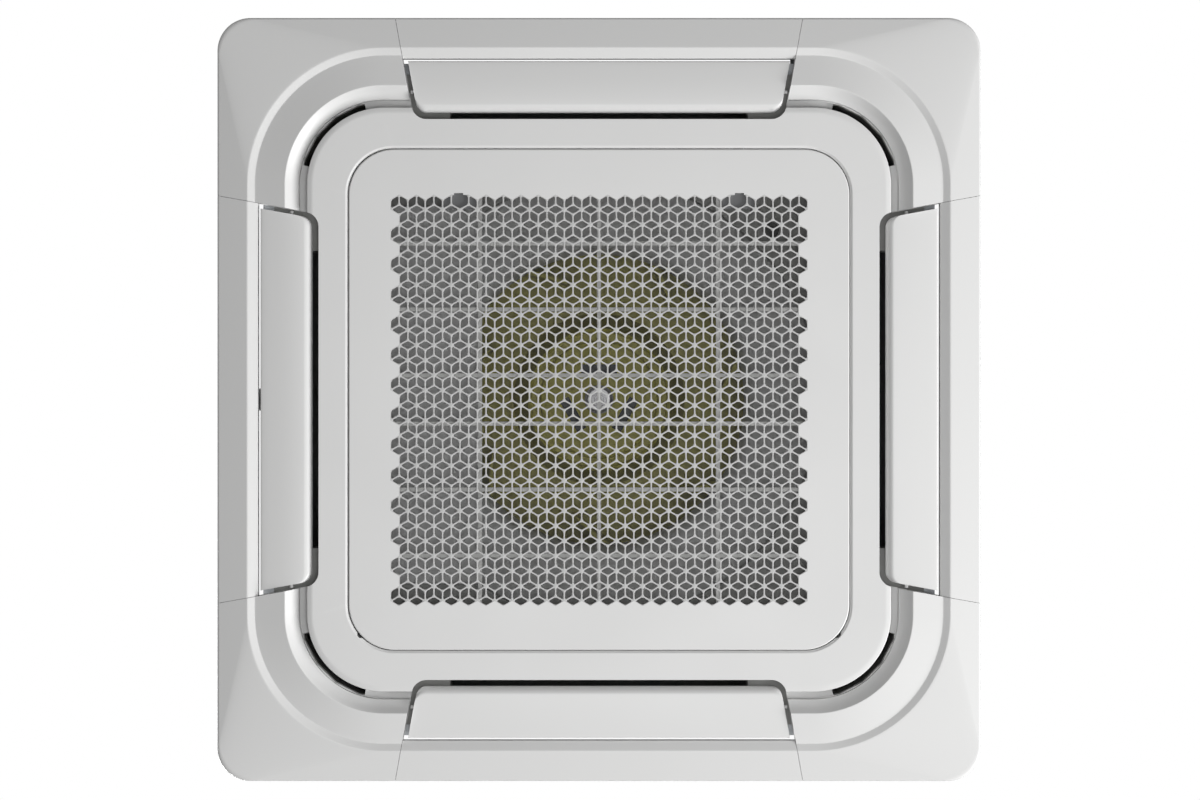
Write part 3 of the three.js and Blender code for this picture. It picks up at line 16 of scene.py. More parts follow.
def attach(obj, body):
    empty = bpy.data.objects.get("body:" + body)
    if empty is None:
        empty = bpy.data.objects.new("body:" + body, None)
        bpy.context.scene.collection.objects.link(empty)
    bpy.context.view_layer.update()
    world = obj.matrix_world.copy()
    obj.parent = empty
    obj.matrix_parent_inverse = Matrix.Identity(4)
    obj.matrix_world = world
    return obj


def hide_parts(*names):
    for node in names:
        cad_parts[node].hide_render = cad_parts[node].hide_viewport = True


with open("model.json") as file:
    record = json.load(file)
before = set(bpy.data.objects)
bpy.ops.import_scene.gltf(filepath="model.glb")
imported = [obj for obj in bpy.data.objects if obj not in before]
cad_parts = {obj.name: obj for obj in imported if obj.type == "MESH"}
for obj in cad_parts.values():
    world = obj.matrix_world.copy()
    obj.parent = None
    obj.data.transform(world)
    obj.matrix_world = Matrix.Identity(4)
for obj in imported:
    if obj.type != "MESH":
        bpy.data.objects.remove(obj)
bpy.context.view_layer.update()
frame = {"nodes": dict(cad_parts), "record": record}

nodes = frame["nodes"]

# %% [markdown]
# ## Camera, light and background
# The photograph looks straight up at the panel through a long lens, so the camera is five metres
# below it. The brightest light comes in low from the right, which is what makes the right-hand slope
# brighter than the flat face and the left-hand one darker. A broad weak lamp near the camera reaches
# the fan through the grille, and an upper lamp keeps the metal body readable from above. A brighter
# world would give a white background too, but it would wash out the slopes, so the world is white for
# the camera and for clear materials only, and grey for the surfaces.

# %% Camera
MM = 0.001
PHOTO_PIXEL = 1.2425 * MM            # size of one of the photo's 1200 pixels on the panel's face
PHOTO_WIDTH = 1200
CAMERA_BELOW = 5.0
PANEL_FACE = -22 * MM
OFF_MIDDLE = (1.0, 0.5)              # pixels from the panel's middle to the photo's, right and down

camera_data = bpy.data.cameras.new("camera")
camera_data.sensor_width = 36
camera_data.lens = camera_data.sensor_width * (CAMERA_BELOW + PANEL_FACE) / (PHOTO_PIXEL * PHOTO_WIDTH)
camera_data.clip_end = 100
camera = bpy.data.objects.new("camera", camera_data)
camera.location = (OFF_MIDDLE[0] * PHOTO_PIXEL, OFF_MIDDLE[1] * PHOTO_PIXEL, -CAMERA_BELOW)
camera.rotation_euler = (math.pi, 0, 0)
bpy.context.collection.objects.link(camera)
bpy.context.scene.camera = camera
bpy.context.scene.view_settings.view_transform = "Standard"
print("lens", round(camera_data.lens, 1), "mm")


# %% Lamps
def area_lamp(name, place, size, power, aim=(0, 0, 0)):
    """A square lamp that faces a point, and that the camera doesn't see."""
    data = bpy.data.lights.new(name, "AREA")
    data.size = size
    data.energy = power
    lamp = bpy.data.objects.new(name, data)
    lamp.location = place
    lamp.rotation_euler = (Vector(aim) - Vector(place)).to_track_quat("-Z", "Y").to_euler()
    lamp.visible_camera = False
    bpy.context.collection.objects.link(lamp)
    print(name, power, "W")


area_lamp("key_lamp", place=(5.0, 2.45, -2.1), size=2.8, power=455)
area_lamp("front_lamp", place=(0.3, 0.4, -4.2), size=1.6, power=57)
area_lamp("upper_lamp", place=(-2.5, 2.0, 4.0), size=2.5, power=220, aim=(0, 0, 0.15))

# %% Background
WORLD_GREY = 0.13

world = bpy.data.worlds.new("studio")
world.use_nodes = True
bpy.context.scene.world = world
sky = world.node_tree
sky.nodes.clear()
seen = sky.nodes.new("ShaderNodeLightPath")
either = sky.nodes.new("ShaderNodeMath")
either.operation = "MAXIMUM"
strength = sky.nodes.new("ShaderNodeMapRange")
strength.inputs["To Min"].default_value = WORLD_GREY
strength.inputs["To Max"].default_value = 1.0
white = sky.nodes.new("ShaderNodeBackground")
white.inputs["Color"].default_value = (1, 1, 1, 1)
sky_out = sky.nodes.new("ShaderNodeOutputWorld")
sky.links.new(seen.outputs["Is Camera Ray"], either.inputs[0])
sky.links.new(seen.outputs["Is Transmission Ray"], either.inputs[1])
sky.links.new(either.outputs[0], strength.inputs["Value"])
sky.links.new(strength.outputs["Result"], white.inputs["Strength"])
sky.links.new(white.outputs["Background"], sky_out.inputs["Surface"])

# %% [markdown]
# The floor lies far below, out of the camera's way. It glows a little for the camera only, so it looks
# pale in views from above as well and adds no light to the part.

# %% Floor
FLOOR_BELOW = 12.0
FLOOR_SIZE = 40
FLOOR_GLOW = 0.7

floor_mesh = bmesh.new()
bmesh.ops.create_grid(floor_mesh, x_segments=1, y_segments=1, size=FLOOR_SIZE)
bmesh.ops.translate(floor_mesh, vec=(0, 0, -FLOOR_BELOW), verts=floor_mesh.verts)
floor_data = bpy.data.meshes.new("floor")
floor_mesh.to_mesh(floor_data)
floor_mesh.free()
floor = bpy.data.objects.new("floor", floor_data)
bpy.context.collection.objects.link(floor)
floor_finish = bpy.data.materials.new("pale floor")
floor_finish.use_nodes = True
floor_tree = floor_finish.node_tree
floor_shader = floor_tree.nodes["Principled BSDF"]
floor_shader.inputs["Base Color"].default_value = (0.9, 0.9, 0.9, 1)
floor_shader.inputs["Emission Color"].default_value = (1, 1, 1, 1)
floor_seen = floor_tree.nodes.new("ShaderNodeLightPath")
floor_glow = floor_tree.nodes.new("ShaderNodeMath")
floor_glow.operation = "MULTIPLY"
floor_glow.inputs[1].default_value = FLOOR_GLOW
floor_tree.links.new(floor_seen.outputs["Is Camera Ray"], floor_glow.inputs[0])
floor_tree.links.new(floor_glow.outputs[0], floor_shader.inputs["Emission Strength"])
floor_data.materials.append(floor_finish)

# %% [markdown]
# ## Finishes
# The real surfaces are moulded plastic, spangled zinc sheet, drawn and turned metal, a finned coil and
# a woven net. Each could have its own nodes, but an effect that several finishes share is kept in one
# shader node group with named inputs. The moulded skin gives plastic its slow change of tone, its uneven
# gloss and the fine spark grain of a mould. Each group puts out only colours, masks, roughness and
# normals, and the Principled BSDF stays in the material.


# %% Node groups
def node_group(name, inputs, outputs):
    """An empty shader group with named sockets: returns the group and its two end nodes."""
    group = bpy.data.node_groups.new(name, "ShaderNodeTree")
    for label, kind, value in inputs:
        socket = group.interface.new_socket(name=label, in_out="INPUT", socket_type=kind)
        socket.default_value = value
    for label, kind in outputs:
        group.interface.new_socket(name=label, in_out="OUTPUT", socket_type=kind)
    return group, group.nodes.new("NodeGroupInput"), group.nodes.new("NodeGroupOutput")


COLOUR, NUMBER, VECTOR = "NodeSocketColor", "NodeSocketFloat", "NodeSocketVector"


def noise(group, place, scale, detail=3.0):
    """A noise texture at a place: scale is a number or a socket."""
    texture = group.nodes.new("ShaderNodeTexNoise")
    texture.inputs["Detail"].default_value = detail
    group.links.new(place, texture.inputs["Vector"])
    if isinstance(scale, (int, float)):
        texture.inputs["Scale"].default_value = scale
    else:
        group.links.new(scale, texture.inputs["Scale"])
    return texture.outputs["Fac"]


MIX_FIRST, MIX_SECOND, MIX_RESULT = 6, 7, 2      # the colour sockets, as their names repeat


def mixed(group, mask, first, second):
    """Mixes two colours by a mask."""
    mix = group.nodes.new("ShaderNodeMix")
    mix.data_type = "RGBA"
    group.links.new(mask, mix.inputs["Factor"])
    group.links.new(first, mix.inputs[MIX_FIRST])
    group.links.new(second, mix.inputs[MIX_SECOND])
    return mix.outputs[MIX_RESULT]


def arithmetic(group, operation, first, second):
    """A Math node on sockets or numbers."""
    node = group.nodes.new("ShaderNodeMath")
    node.operation = operation
    for value, socket in zip((first, second), node.inputs):
        if isinstance(value, (int, float)):
            socket.default_value = value
        else:
            group.links.new(value, socket)
    return node.outputs[0]


def bumped(group, height, depth, reach=0.0003):
    """The normal of a surface with this height on it."""
    bump = group.nodes.new("ShaderNodeBump")
    bump.inputs["Distance"].default_value = reach
    group.links.new(height, bump.inputs["Height"])
    group.links.new(depth, bump.inputs["Strength"])
    return bump.outputs["Normal"]


def object_place(group):
    """The point of the surface on the object's own coordinates."""
    return group.nodes.new("ShaderNodeTexCoord").outputs["Object"]


def coloured(group, mask, ends):
    """Mixes a group's two input colours by a mask, into its Colour output."""
    entry, leave = ends
    tone = mixed(group, mask, entry.outputs["Colour"], entry.outputs["Second colour"])
    group.links.new(tone, leave.inputs["Colour"])


def glossed(group, change, ends):
    """Adds a change to a group's Roughness input, into its Roughness output."""
    entry, leave = ends
    group.links.new(arithmetic(group, "ADD", change, entry.outputs["Roughness"]), leave.inputs["Roughness"])


# %% Moulded skin
moulded, m_in, m_out = node_group(
    "moulded skin",
    [("Colour", COLOUR, (0.8, 0.8, 0.8, 1)), ("Second colour", COLOUR, (0.77, 0.77, 0.77, 1)),
     ("Cloud scale", NUMBER, 6.0), ("Grain scale", NUMBER, 900.0), ("Grain depth", NUMBER, 0.12),
     ("Roughness", NUMBER, 0.4), ("Roughness spread", NUMBER, 0.12)],
    [("Colour", COLOUR), ("Roughness", NUMBER), ("Normal", VECTOR)],
)
m_place = object_place(moulded)
m_clouds = noise(moulded, m_place, m_in.outputs["Cloud scale"], 4)
m_grain = noise(moulded, m_place, m_in.outputs["Grain scale"], 2)
coloured(moulded, m_clouds, (m_in, m_out))
m_centred = arithmetic(moulded, "SUBTRACT", m_clouds, 0.5)
m_swing = arithmetic(moulded, "MULTIPLY", m_centred, m_in.outputs["Roughness spread"])
glossed(moulded, m_swing, (m_in, m_out))
moulded.links.new(bumped(moulded, m_grain, m_in.outputs["Grain depth"]), m_out.inputs["Normal"])

# %% Zinc sheet and drawn metal
zinc, z_in, z_out = node_group(
    "zinc spangle",
    [("Colour", COLOUR, (0.5, 0.52, 0.54, 1)), ("Second colour", COLOUR, (0.62, 0.64, 0.66, 1)),
     ("Spangle scale", NUMBER, 90.0), ("Roughness", NUMBER, 0.62), ("Dent depth", NUMBER, 0.12)],
    [("Colour", COLOUR), ("Roughness", NUMBER), ("Normal", VECTOR)],
)
z_place = object_place(zinc)
z_cells = zinc.nodes.new("ShaderNodeTexVoronoi")
zinc.links.new(z_place, z_cells.inputs["Vector"])
zinc.links.new(z_in.outputs["Spangle scale"], z_cells.inputs["Scale"])
z_tone = zinc.nodes.new("ShaderNodeSeparateColor")
zinc.links.new(z_cells.outputs["Color"], z_tone.inputs["Color"])
coloured(zinc, z_tone.outputs["Red"], (z_in, z_out))
SPANGLE_GLOSS = 0.16
glossed(zinc, arithmetic(zinc, "MULTIPLY", z_tone.outputs["Green"], SPANGLE_GLOSS), (z_in, z_out))
z_dents = bumped(zinc, noise(zinc, z_place, 14.0), z_in.outputs["Dent depth"], reach=0.001)
zinc.links.new(z_dents, z_out.inputs["Normal"])

drawn, d_in, d_out = node_group(
    "drawn metal",
    [("Colour", COLOUR, (0.6, 0.3, 0.18, 1)), ("Second colour", COLOUR, (0.35, 0.15, 0.08, 1)),
     ("Roughness", NUMBER, 0.3), ("Scratch depth", NUMBER, 0.15)],
    [("Colour", COLOUR), ("Roughness", NUMBER), ("Normal", VECTOR)],
)
d_place = object_place(drawn)
d_stretch = drawn.nodes.new("ShaderNodeMapping")
d_stretch.inputs["Scale"].default_value = (40, 900, 900)
drawn.links.new(d_place, d_stretch.inputs["Vector"])
d_scratch = noise(drawn, d_stretch.outputs["Vector"], 1.0, 2)
d_stain = noise(drawn, d_place, 35.0, 5)
coloured(drawn, d_stain, (d_in, d_out))
STAIN_GLOSS = 0.2
glossed(drawn, arithmetic(drawn, "MULTIPLY", d_stain, STAIN_GLOSS), (d_in, d_out))
d_scratches = bumped(drawn, d_scratch, d_in.outputs["Scratch depth"], reach=0.0002)
drawn.links.new(d_scratches, d_out.inputs["Normal"])

# %% [markdown]
# The coil is a pack of thin fins and the filter's net is woven, and neither is cut as geometry: they are
# too fine to count. Two sine waves across the object give the stripes, and where they are above a
# level, the mask is one. Elsewhere the colour is painted shade, the dark in the gaps between the coil's
# fins; the net uses the mask as alpha, so its gaps are open.

# %% Stripes: the coil's fins and the threads of the filter net
stripes, s_in, s_out = node_group(
    "fine stripes",
    [("Colour", COLOUR, (0.6, 0.62, 0.64, 1)), ("Painted gap shade", COLOUR, (0.1, 0.1, 0.1, 1)),
     ("Pitch scale", NUMBER, 200.0), ("Across scale", NUMBER, 200.0), ("Thread", NUMBER, 0.5),
     ("Depth", NUMBER, 0.5)],
    [("Colour", COLOUR), ("Mask", NUMBER), ("Normal", VECTOR)],
)
s_split = stripes.nodes.new("ShaderNodeSeparateXYZ")
stripes.links.new(object_place(stripes), s_split.inputs["Vector"])
s_waves = []
for axis, scale in (("X", "Pitch scale"), ("Y", "Across scale")):
    s_turns = arithmetic(stripes, "MULTIPLY", s_split.outputs[axis], s_in.outputs[scale])
    s_waves.append(arithmetic(stripes, "ABSOLUTE", arithmetic(stripes, "SINE", s_turns, 0), 0))
s_high = arithmetic(stripes, "MAXIMUM", *s_waves)
s_mask = arithmetic(stripes, "GREATER_THAN", s_high, s_in.outputs["Thread"])
# between the stripes: painted shade, the dark of the gaps between fins
s_stripes_and_gap_shade = mixed(stripes, s_mask, s_in.outputs["Painted gap shade"], s_in.outputs["Colour"])
stripes.links.new(s_stripes_and_gap_shade, s_out.inputs["Colour"])
stripes.links.new(s_mask, s_out.inputs["Mask"])
stripes.links.new(bumped(stripes, s_high, s_in.outputs["Depth"]), s_out.inputs["Normal"])


# %% [markdown]
# Every finish is a Principled BSDF fed by one group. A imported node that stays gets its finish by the
# slot that the record gives it.

# %% Materials
def surface(name, group, values, metallic=0.0, roughness=None, coat=0.0):
    """A Principled material whose colour, gloss and normal come from a group."""
    made = bpy.data.materials.new(name)
    made.use_nodes = True
    tree = made.node_tree
    shader = tree.nodes["Principled BSDF"]
    shader.inputs["Metallic"].default_value = metallic
    shader.inputs["Coat Weight"].default_value = coat
    effect = tree.nodes.new("ShaderNodeGroup")
    effect.node_tree = group
    for label, value in values.items():
        socket = effect.inputs[label]
        socket.default_value = (*value, 1) if socket.type == "RGBA" else value
    tree.links.new(effect.outputs["Colour"], shader.inputs["Base Color"])
    tree.links.new(effect.outputs["Normal"], shader.inputs["Normal"])
    if roughness is None:
        tree.links.new(effect.outputs["Roughness"], shader.inputs["Roughness"])
    else:
        shader.inputs["Roughness"].default_value = roughness
    return made


def plastic(name, colour, second, roughness=0.42, grain=0.1, **more):
    """A moulded plastic between two colours."""
    return surface(name, moulded, {
        "Colour": colour, "Second colour": second, "Roughness": roughness, "Grain depth": grain,
    }, **more)


WHITE = (0.7, 0.7, 0.695)
panel_white = plastic("panel white", WHITE, (0.68, 0.68, 0.675))
# Painted shade: the lattice is the same white plastic as the border, darkened for the shade among its
# openings.
lattice_painted_shade = plastic("lattice painted shade", (0.53, 0.53, 0.525), (0.5, 0.5, 0.495))
vane_white = plastic("vane white", WHITE, (0.685, 0.685, 0.68), 0.38)
motor_white = plastic("motor white", (0.62, 0.62, 0.6), (0.56, 0.56, 0.54), 0.5)
dark_plastic = plastic("dark plastic", (0.11, 0.112, 0.115), (0.085, 0.087, 0.09), 0.5, 0.3)
grey_plastic = plastic("grey plastic", (0.58, 0.58, 0.58), (0.53, 0.53, 0.53), 0.55, 0.3)
light_grey = plastic("light grey", (0.36, 0.36, 0.355), (0.3, 0.3, 0.295), 0.45, 0.2)
filter_grey = plastic("filter grey", (0.5, 0.5, 0.49), (0.44, 0.44, 0.43), 0.5, 0.2)
olive = plastic("fan olive", (0.53, 0.485, 0.055), (0.46, 0.42, 0.045), 0.45, 0.25)
light_plastic = plastic("light plastic", (0.7, 0.7, 0.69), (0.62, 0.62, 0.61), 0.45)
foam = plastic("closed foam", (0.27, 0.275, 0.275), (0.2, 0.205, 0.205), 0.92, 1.0)
pan_foam = plastic("pan foam", (0.42, 0.42, 0.41), (0.33, 0.33, 0.32), 0.8, 0.8)
rubber = plastic("black rubber", (0.02, 0.02, 0.02), (0.012, 0.012, 0.012), 0.75, 0.5)
motor_paint = plastic("motor paint", (0.06, 0.065, 0.07), (0.045, 0.05, 0.055), 0.4, 0.6, metallic=0.3)
board_green = plastic("board green", (0.03, 0.16, 0.06), (0.02, 0.11, 0.04), 0.35, 0.6, coat=0.3)
galvanised = surface("galvanised sheet", zinc, {}, metallic=0.45)
steel = surface("turned steel", drawn, {
    "Colour": (0.5, 0.5, 0.51), "Second colour": (0.36, 0.36, 0.37), "Roughness": 0.25,
}, metallic=1.0)
copper = surface("drawn copper", drawn, {
    "Colour": (0.72, 0.32, 0.2), "Second colour": (0.45, 0.17, 0.09),
}, metallic=1.0)
brass = surface("turned brass", drawn, {
    "Colour": (0.72, 0.52, 0.22), "Second colour": (0.5, 0.34, 0.12), "Roughness": 0.22,
}, metallic=1.0)
# The dark colour between the fins is painted shade.
fins = surface("stacked fins", stripes, {
    "Colour": (0.62, 0.64, 0.66), "Painted gap shade": (0.16, 0.165, 0.17), "Pitch scale": 1800.0,
    "Across scale": 1800.0, "Thread": 0.55,
}, metallic=0.7, roughness=0.4)
net = surface("woven net", stripes, {
    "Colour": (0.16, 0.16, 0.155), "Painted gap shade": (0.1, 0.1, 0.1), "Pitch scale": 2600.0,
    "Across scale": 2600.0, "Thread": 0.985,
}, roughness=0.8)
net_tree = net.node_tree
net_effect = next(node for node in net_tree.nodes if node.type == "GROUP")
net_tree.links.new(net_effect.outputs["Mask"], net_tree.nodes["Principled BSDF"].inputs["Alpha"])

# %% Finishes by slot
slot_finish = {
    "panel_white": panel_white, "vane_white": vane_white, "motor_white": motor_white,
    "dark_plastic": dark_plastic, "filter_plastic": filter_grey, "filter_weave": net, "foam": foam,
    "galvanised": galvanised, "pan_foam": pan_foam, "light_plastic": light_plastic, "fan_olive": olive,
    "steel": steel, "motor_paint": motor_paint, "rubber_black": rubber, "coil_aluminium": fins,
    "copper": copper, "brass_nut": brass, "board_green": board_green,
}
for row in frame["record"]["subparts"]:
    for holder in nodes[row["node"]].material_slots:
        holder.material = slot_finish[row["material_slot"]]
nodes["bell_mouth"].material_slots[0].material = grey_plastic
nodes["electrical_cover"].material_slots[0].material = grey_plastic
print("finishes:", len(slot_finish))

# %% [markdown]
# ## Tools for the moulded pieces
# Every panel piece follows the same rounded squares, one inside the other. They could be bevelled out
# of blocks, but then the corner radius would be the same at every height, so each piece is a loft: a
# vertex is spun round each corner to draw one rounded square, and neighbouring squares are bridged.
# A section is a list of such squares, and its corners are eased first, as a mould's are.

# %% Loft
QUARTER = math.pi / 2
CORNER_STEPS = 28


def turn_all(bm, turn):
    """Turns everything by a number of quarter turns about the panel's middle."""
    bmesh.ops.rotate(bm, cent=(0, 0, 0), matrix=Matrix.Rotation(turn * QUARTER, 3, "Z"), verts=bm.verts)


def finish_piece(name, bm, body, material, replaced=(), crease=26):
    """Makes a piece of a bmesh in millimetres, shades it, hangs it from its body and hides the parts it
    replaces.
    """
    bmesh.ops.scale(bm, vec=(MM, MM, MM), verts=bm.verts)
    mesh = bpy.data.meshes.new(name)
    bm.to_mesh(mesh)
    bm.free()
    mesh.polygons.foreach_set("use_smooth", [True] * len(mesh.polygons))
    mesh.set_sharp_from_angle(angle=math.radians(crease))
    mesh.materials.append(material)
    piece = bpy.data.objects.new(name, mesh)
    bpy.context.collection.objects.link(piece)
    even = piece.modifiers.new("even shading", "WEIGHTED_NORMAL")
    even.keep_sharp = True
    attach(piece, body)
    if replaced:
        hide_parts(*replaced)
    print(name, len(mesh.polygons), "faces")
    return piece


def eased(section, steps=4):
    """Rounds the corners of a section of (half, radius, z, reach) squares."""
    points = [Vector(entry[:3]) for entry in section]
    soft = [points[0]]
    for n in range(1, len(points) - 1):
        before, corner, after = points[n - 1], points[n], points[n + 1]
        reach = section[n][3]
        if reach == 0:
            soft.append(corner)
            continue
        start = corner.lerp(before, min(0.45, reach / (before - corner).xz.length))
        end = corner.lerp(after, min(0.45, reach / (after - corner).xz.length))
        for step in range(steps + 1):
            share = step / steps
            soft.append(start.lerp(corner, share).lerp(corner.lerp(end, share), share))
    soft.append(points[-1])
    return soft


def rounded_loop(bm, half, radius, z):
    """One closed rounded square, drawn by spinning a vertex round each corner."""
    centre = half - radius
    arcs, edges = [], []
    for turn in range(4):
        turned_by = Matrix.Rotation(turn * QUARTER, 3, "Z")
        corner = bm.verts.new(turned_by @ Vector((half, centre, z)))
        middle = turned_by @ Vector((centre, centre, z))
        arc = [corner]
        for step in range(CORNER_STEPS):
            spun = bmesh.ops.spin(
                bm, geom=[arc[-1]], cent=middle, axis=(0, 0, 1), angle=QUARTER / CORNER_STEPS, steps=1,
            )["geom_last"]
            arc.append(spun[0])
            edges.append(arc[-1].link_edges[0])
        arcs.append(arc)
    for n in range(4):
        edges.append(bm.edges.new((arcs[n][-1], arcs[(n + 1) % 4][0])))
    return edges


def loft(bm, section, closed=False):
    """Bridges the rounded squares of a section, and its last to its first if it is closed."""
    loops = [rounded_loop(bm, *square) for square in section]
    pairs = list(zip(loops, loops[1:]))
    if closed:
        pairs.append((loops[-1], loops[0]))
    for low, high in pairs:
        bmesh.ops.bridge_loops(bm, edges=low + high)
    return loops


def trim(bm, point, outward, fill=True):
    """Cuts along a plane, drops what lies outward of it and closes the cut."""
    everything = bm.verts[:] + bm.edges[:] + bm.faces[:]
    cut = bmesh.ops.bisect_plane(
        bm, geom=everything, dist=1e-4, plane_co=point, plane_no=outward, clear_outer=True,
    )
    edges = [part for part in cut["geom_cut"] if isinstance(part, bmesh.types.BMEdge)]
    if not fill:
        return
    rim = set(edges)
    corners = dict.fromkeys(corner for edge in edges for corner in edge.verts)
    ends = [corner for corner in corners if sum(edge in rim for edge in corner.link_edges) == 1]
    if len(ends) == 2:
        edges.append(bm.edges.new(ends))
    bmesh.ops.edgeloop_fill(bm, edges=edges)


# %% [markdown]
# ## Corner covers
# Each cover is one thin moulding that carries the outer slope round the corner, then a ridge, a
# shallow valley, a crest, and a hollow band that leads the air out of the corner slot. It is lofted
# as a whole frame, and only the quarter between the two slanted seams is kept. The four are alike, so
# one is made and turned, and a Solidify modifier gives it the wall of a moulding.

# %% Corner covers
PANEL_HALF, RIDGE, LIP_IN, RING_OUT, RING_IN = 475, 437, 424, 348.5, 312
SEAM_AT_LIP, SEAM_SLANT = 244, 0.185
COVER_TOP = -4.3
SEAM_GAP = 0.5
COVER_WALL = 2.5

PANEL_R, EDGE_DROP = 41, -14
RIDGE_R, RIDGE_DROP = 170, -21
COVE, COVE_R = 373, 106

COVER_SECTION = [
    (PANEL_HALF, PANEL_R, COVER_TOP, 0), (PANEL_HALF, PANEL_R, EDGE_DROP, 2.6),
    (RIDGE, RIDGE_R, RIDGE_DROP, 1.0), (428, 161, -18, 0.7), (390, 123, -24.5, 1.0),
    (381.5, 114.5, -16.9, 5.0), (COVE, COVE_R, -12, 1.2), (COVE, COVE_R, COVER_TOP, 0),
]


def seam(out):
    """How far along a side its slanted seam lies, at a distance out from the middle."""
    return SEAM_AT_LIP + SEAM_SLANT * (out - LIP_IN)


def seam_planes(gap):
    """Two (point, outward normal) planes that bound the corner of +X and +Y."""
    return [
        ((LIP_IN, SEAM_AT_LIP + gap, 0), (SEAM_SLANT, -1, 0)),
        ((SEAM_AT_LIP + gap, LIP_IN, 0), (-1, SEAM_SLANT, 0)),
    ]


CORNERS = ["right_hinge", "left_hinge", "left_latch", "right_latch"]
SIDES = ["right", "hinge", "left", "latch"]

corner_quarter = bmesh.new()
loft(corner_quarter, eased(COVER_SECTION))
trim(corner_quarter, (0, 0, 0), (-1, 0, 0), fill=False)
trim(corner_quarter, (0, 0, 0), (0, -1, 0), fill=False)
for point, outward in seam_planes(SEAM_GAP):
    trim(corner_quarter, point, outward)
bmesh.ops.recalc_face_normals(corner_quarter, faces=corner_quarter.faces)

for turn, corner in enumerate(CORNERS):
    cover = corner_quarter.copy()
    turn_all(cover, turn)
    piece = finish_piece(
        f"cover_{corner}_skin", cover, f"cover_{corner}", panel_white,
        [f"corner_cover_{corner}"],
    )
    wall = piece.modifiers.new("wall", "SOLIDIFY")
    wall.thickness = COVER_WALL * MM
    wall.offset = -1
corner_quarter.free()

# %% [markdown]
# ## Side rails and ring
# The fixed frame carries the four side slopes, the lips above the vanes and the flat ring round the
# grille. All of it is a set of lofts: each rail is cut at its two slanted seams and closed there, and
# the ring is one closed section. Behind its face the ring is relieved at the two hinge corners,
# because the open grille's corners turn into them. What lies above, towards the ceiling, is hardly
# seen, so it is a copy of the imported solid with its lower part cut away.


# %% Helpers for copies and boxes
def packed_copy(name):
    """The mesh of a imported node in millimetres, with its doubles merged."""
    bm = bmesh.new()
    bm.from_mesh(nodes[name].data)
    bmesh.ops.scale(bm, vec=(1000, 1000, 1000), verts=bm.verts)
    bmesh.ops.remove_doubles(bm, verts=bm.verts, dist=0.005)
    return bm


def box(bm, low, high, rounding=0.0):
    """A box between two corners, its edges rounded."""
    made = bmesh.ops.create_cube(bm, size=1)["verts"]
    size = [b - a for a, b in zip(low, high)]
    bmesh.ops.scale(bm, vec=size, verts=made)
    bmesh.ops.translate(bm, vec=[(a + b) / 2 for a, b in zip(low, high)], verts=made)
    edges = list(dict.fromkeys(edge for corner in made for edge in corner.link_edges))
    if rounding:
        bmesh.ops.bevel(
            bm, geom=edges, offset=rounding, segments=2, profile=0.5, affect="EDGES", material=-1,
        )


def join_into(bm, part):
    """Adds one bmesh to another and frees it."""
    held = bpy.data.meshes.new("held")
    part.to_mesh(held)
    part.free()
    bm.from_mesh(held)
    bpy.data.meshes.remove(held)


def cut_away(target, cutter):
    """Takes one bmesh out of another with the Boolean modifier."""
    made = []
    for bm in (target, cutter):
        mesh = bpy.data.meshes.new("cutting")
        bm.to_mesh(mesh)
        thing = bpy.data.objects.new("cutting", mesh)
        bpy.context.collection.objects.link(thing)
        made.append(thing)
    knife = made[0].modifiers.new("knife", "BOOLEAN")
    knife.operation = "DIFFERENCE"
    knife.solver = "MANIFOLD"
    knife.object = made[1]
    result = made[0].evaluated_get(bpy.context.evaluated_depsgraph_get()).to_mesh()
    target.clear()
    target.from_mesh(result)
    cutter.free()
    for thing in made:
        mesh = thing.data
        bpy.data.objects.remove(thing)
        bpy.data.meshes.remove(mesh)


# %% Side rails
FRAME_BOTTOM = -4.3
LIP_R = 158
RAIL_SECTION = [
    (PANEL_HALF, PANEL_R, FRAME_BOTTOM, 0), (PANEL_HALF, PANEL_R, EDGE_DROP, 2.6),
    (RIDGE, RIDGE_R, RIDGE_DROP, 1.6), (LIP_IN, LIP_R, -16, 1.0), (LIP_IN, LIP_R, FRAME_BOTTOM + 0.1, 0),
]

frame_skin = bmesh.new()
for turn in range(4):
    rail = bmesh.new()
    loft(rail, eased(RAIL_SECTION), closed=True)
    trim(rail, (0, 0, 0), (-1, 0, 0), fill=False)
    for side in (-1, 1):
        trim(rail, (LIP_IN, side * SEAM_AT_LIP, 0), (-SEAM_SLANT, side, 0))
    bmesh.ops.recalc_face_normals(rail, faces=rail.faces)
    turn_all(rail, turn)
    join_into(frame_skin, rail)
print("rails:", len(frame_skin.faces), "faces")

# %% Ring
RING_EDGE, RING_R, DOOR_CORNER = 363, 96, 57
RING_BOTTOM = -22
RING_SECTION = [
    (RING_IN, DOOR_CORNER, FRAME_BOTTOM, 0), (RING_IN, DOOR_CORNER, -20.2, 0.6),
    (315, 60, RING_BOTTOM, 0.8), (357, 90, RING_BOTTOM + 0.1, 2.0), (RING_EDGE, RING_R, -20.6, 1.0),
    (RING_EDGE, RING_R, FRAME_BOTTOM + 0.1, 0),
]
GAP_CORNER = 15
KNIFE_LOW, KNIFE_HIGH, KNIFE_REACH = -40, 5, 400
RELIEF_X, RELIEF_Y, RELIEF_BOTTOM = (285, 300.6), (280, 296.3), -21.7


def vane_gap_knife():
    """A prism over one vane gap, between its two slanted seams, with rounded inner corners."""
    bm = bmesh.new()
    box(bm, (RING_OUT, -KNIFE_REACH, KNIFE_LOW), (PANEL_HALF + 5, KNIFE_REACH, KNIFE_HIGH))
    for side in (-1, 1):
        trim(bm, (LIP_IN, side * SEAM_AT_LIP, 0), (-SEAM_SLANT, side, 0))
    near_ring = [edge for edge in bm.edges if all(abs(end.co.x - RING_OUT) < 0.1 for end in edge.verts)]
    upright = [edge for edge in near_ring if abs(edge.verts[0].co.z - edge.verts[1].co.z) > 1]
    bmesh.ops.bevel(
        bm, geom=upright, offset=GAP_CORNER, segments=8, profile=0.5, affect="EDGES", material=-1,
    )
    return bm


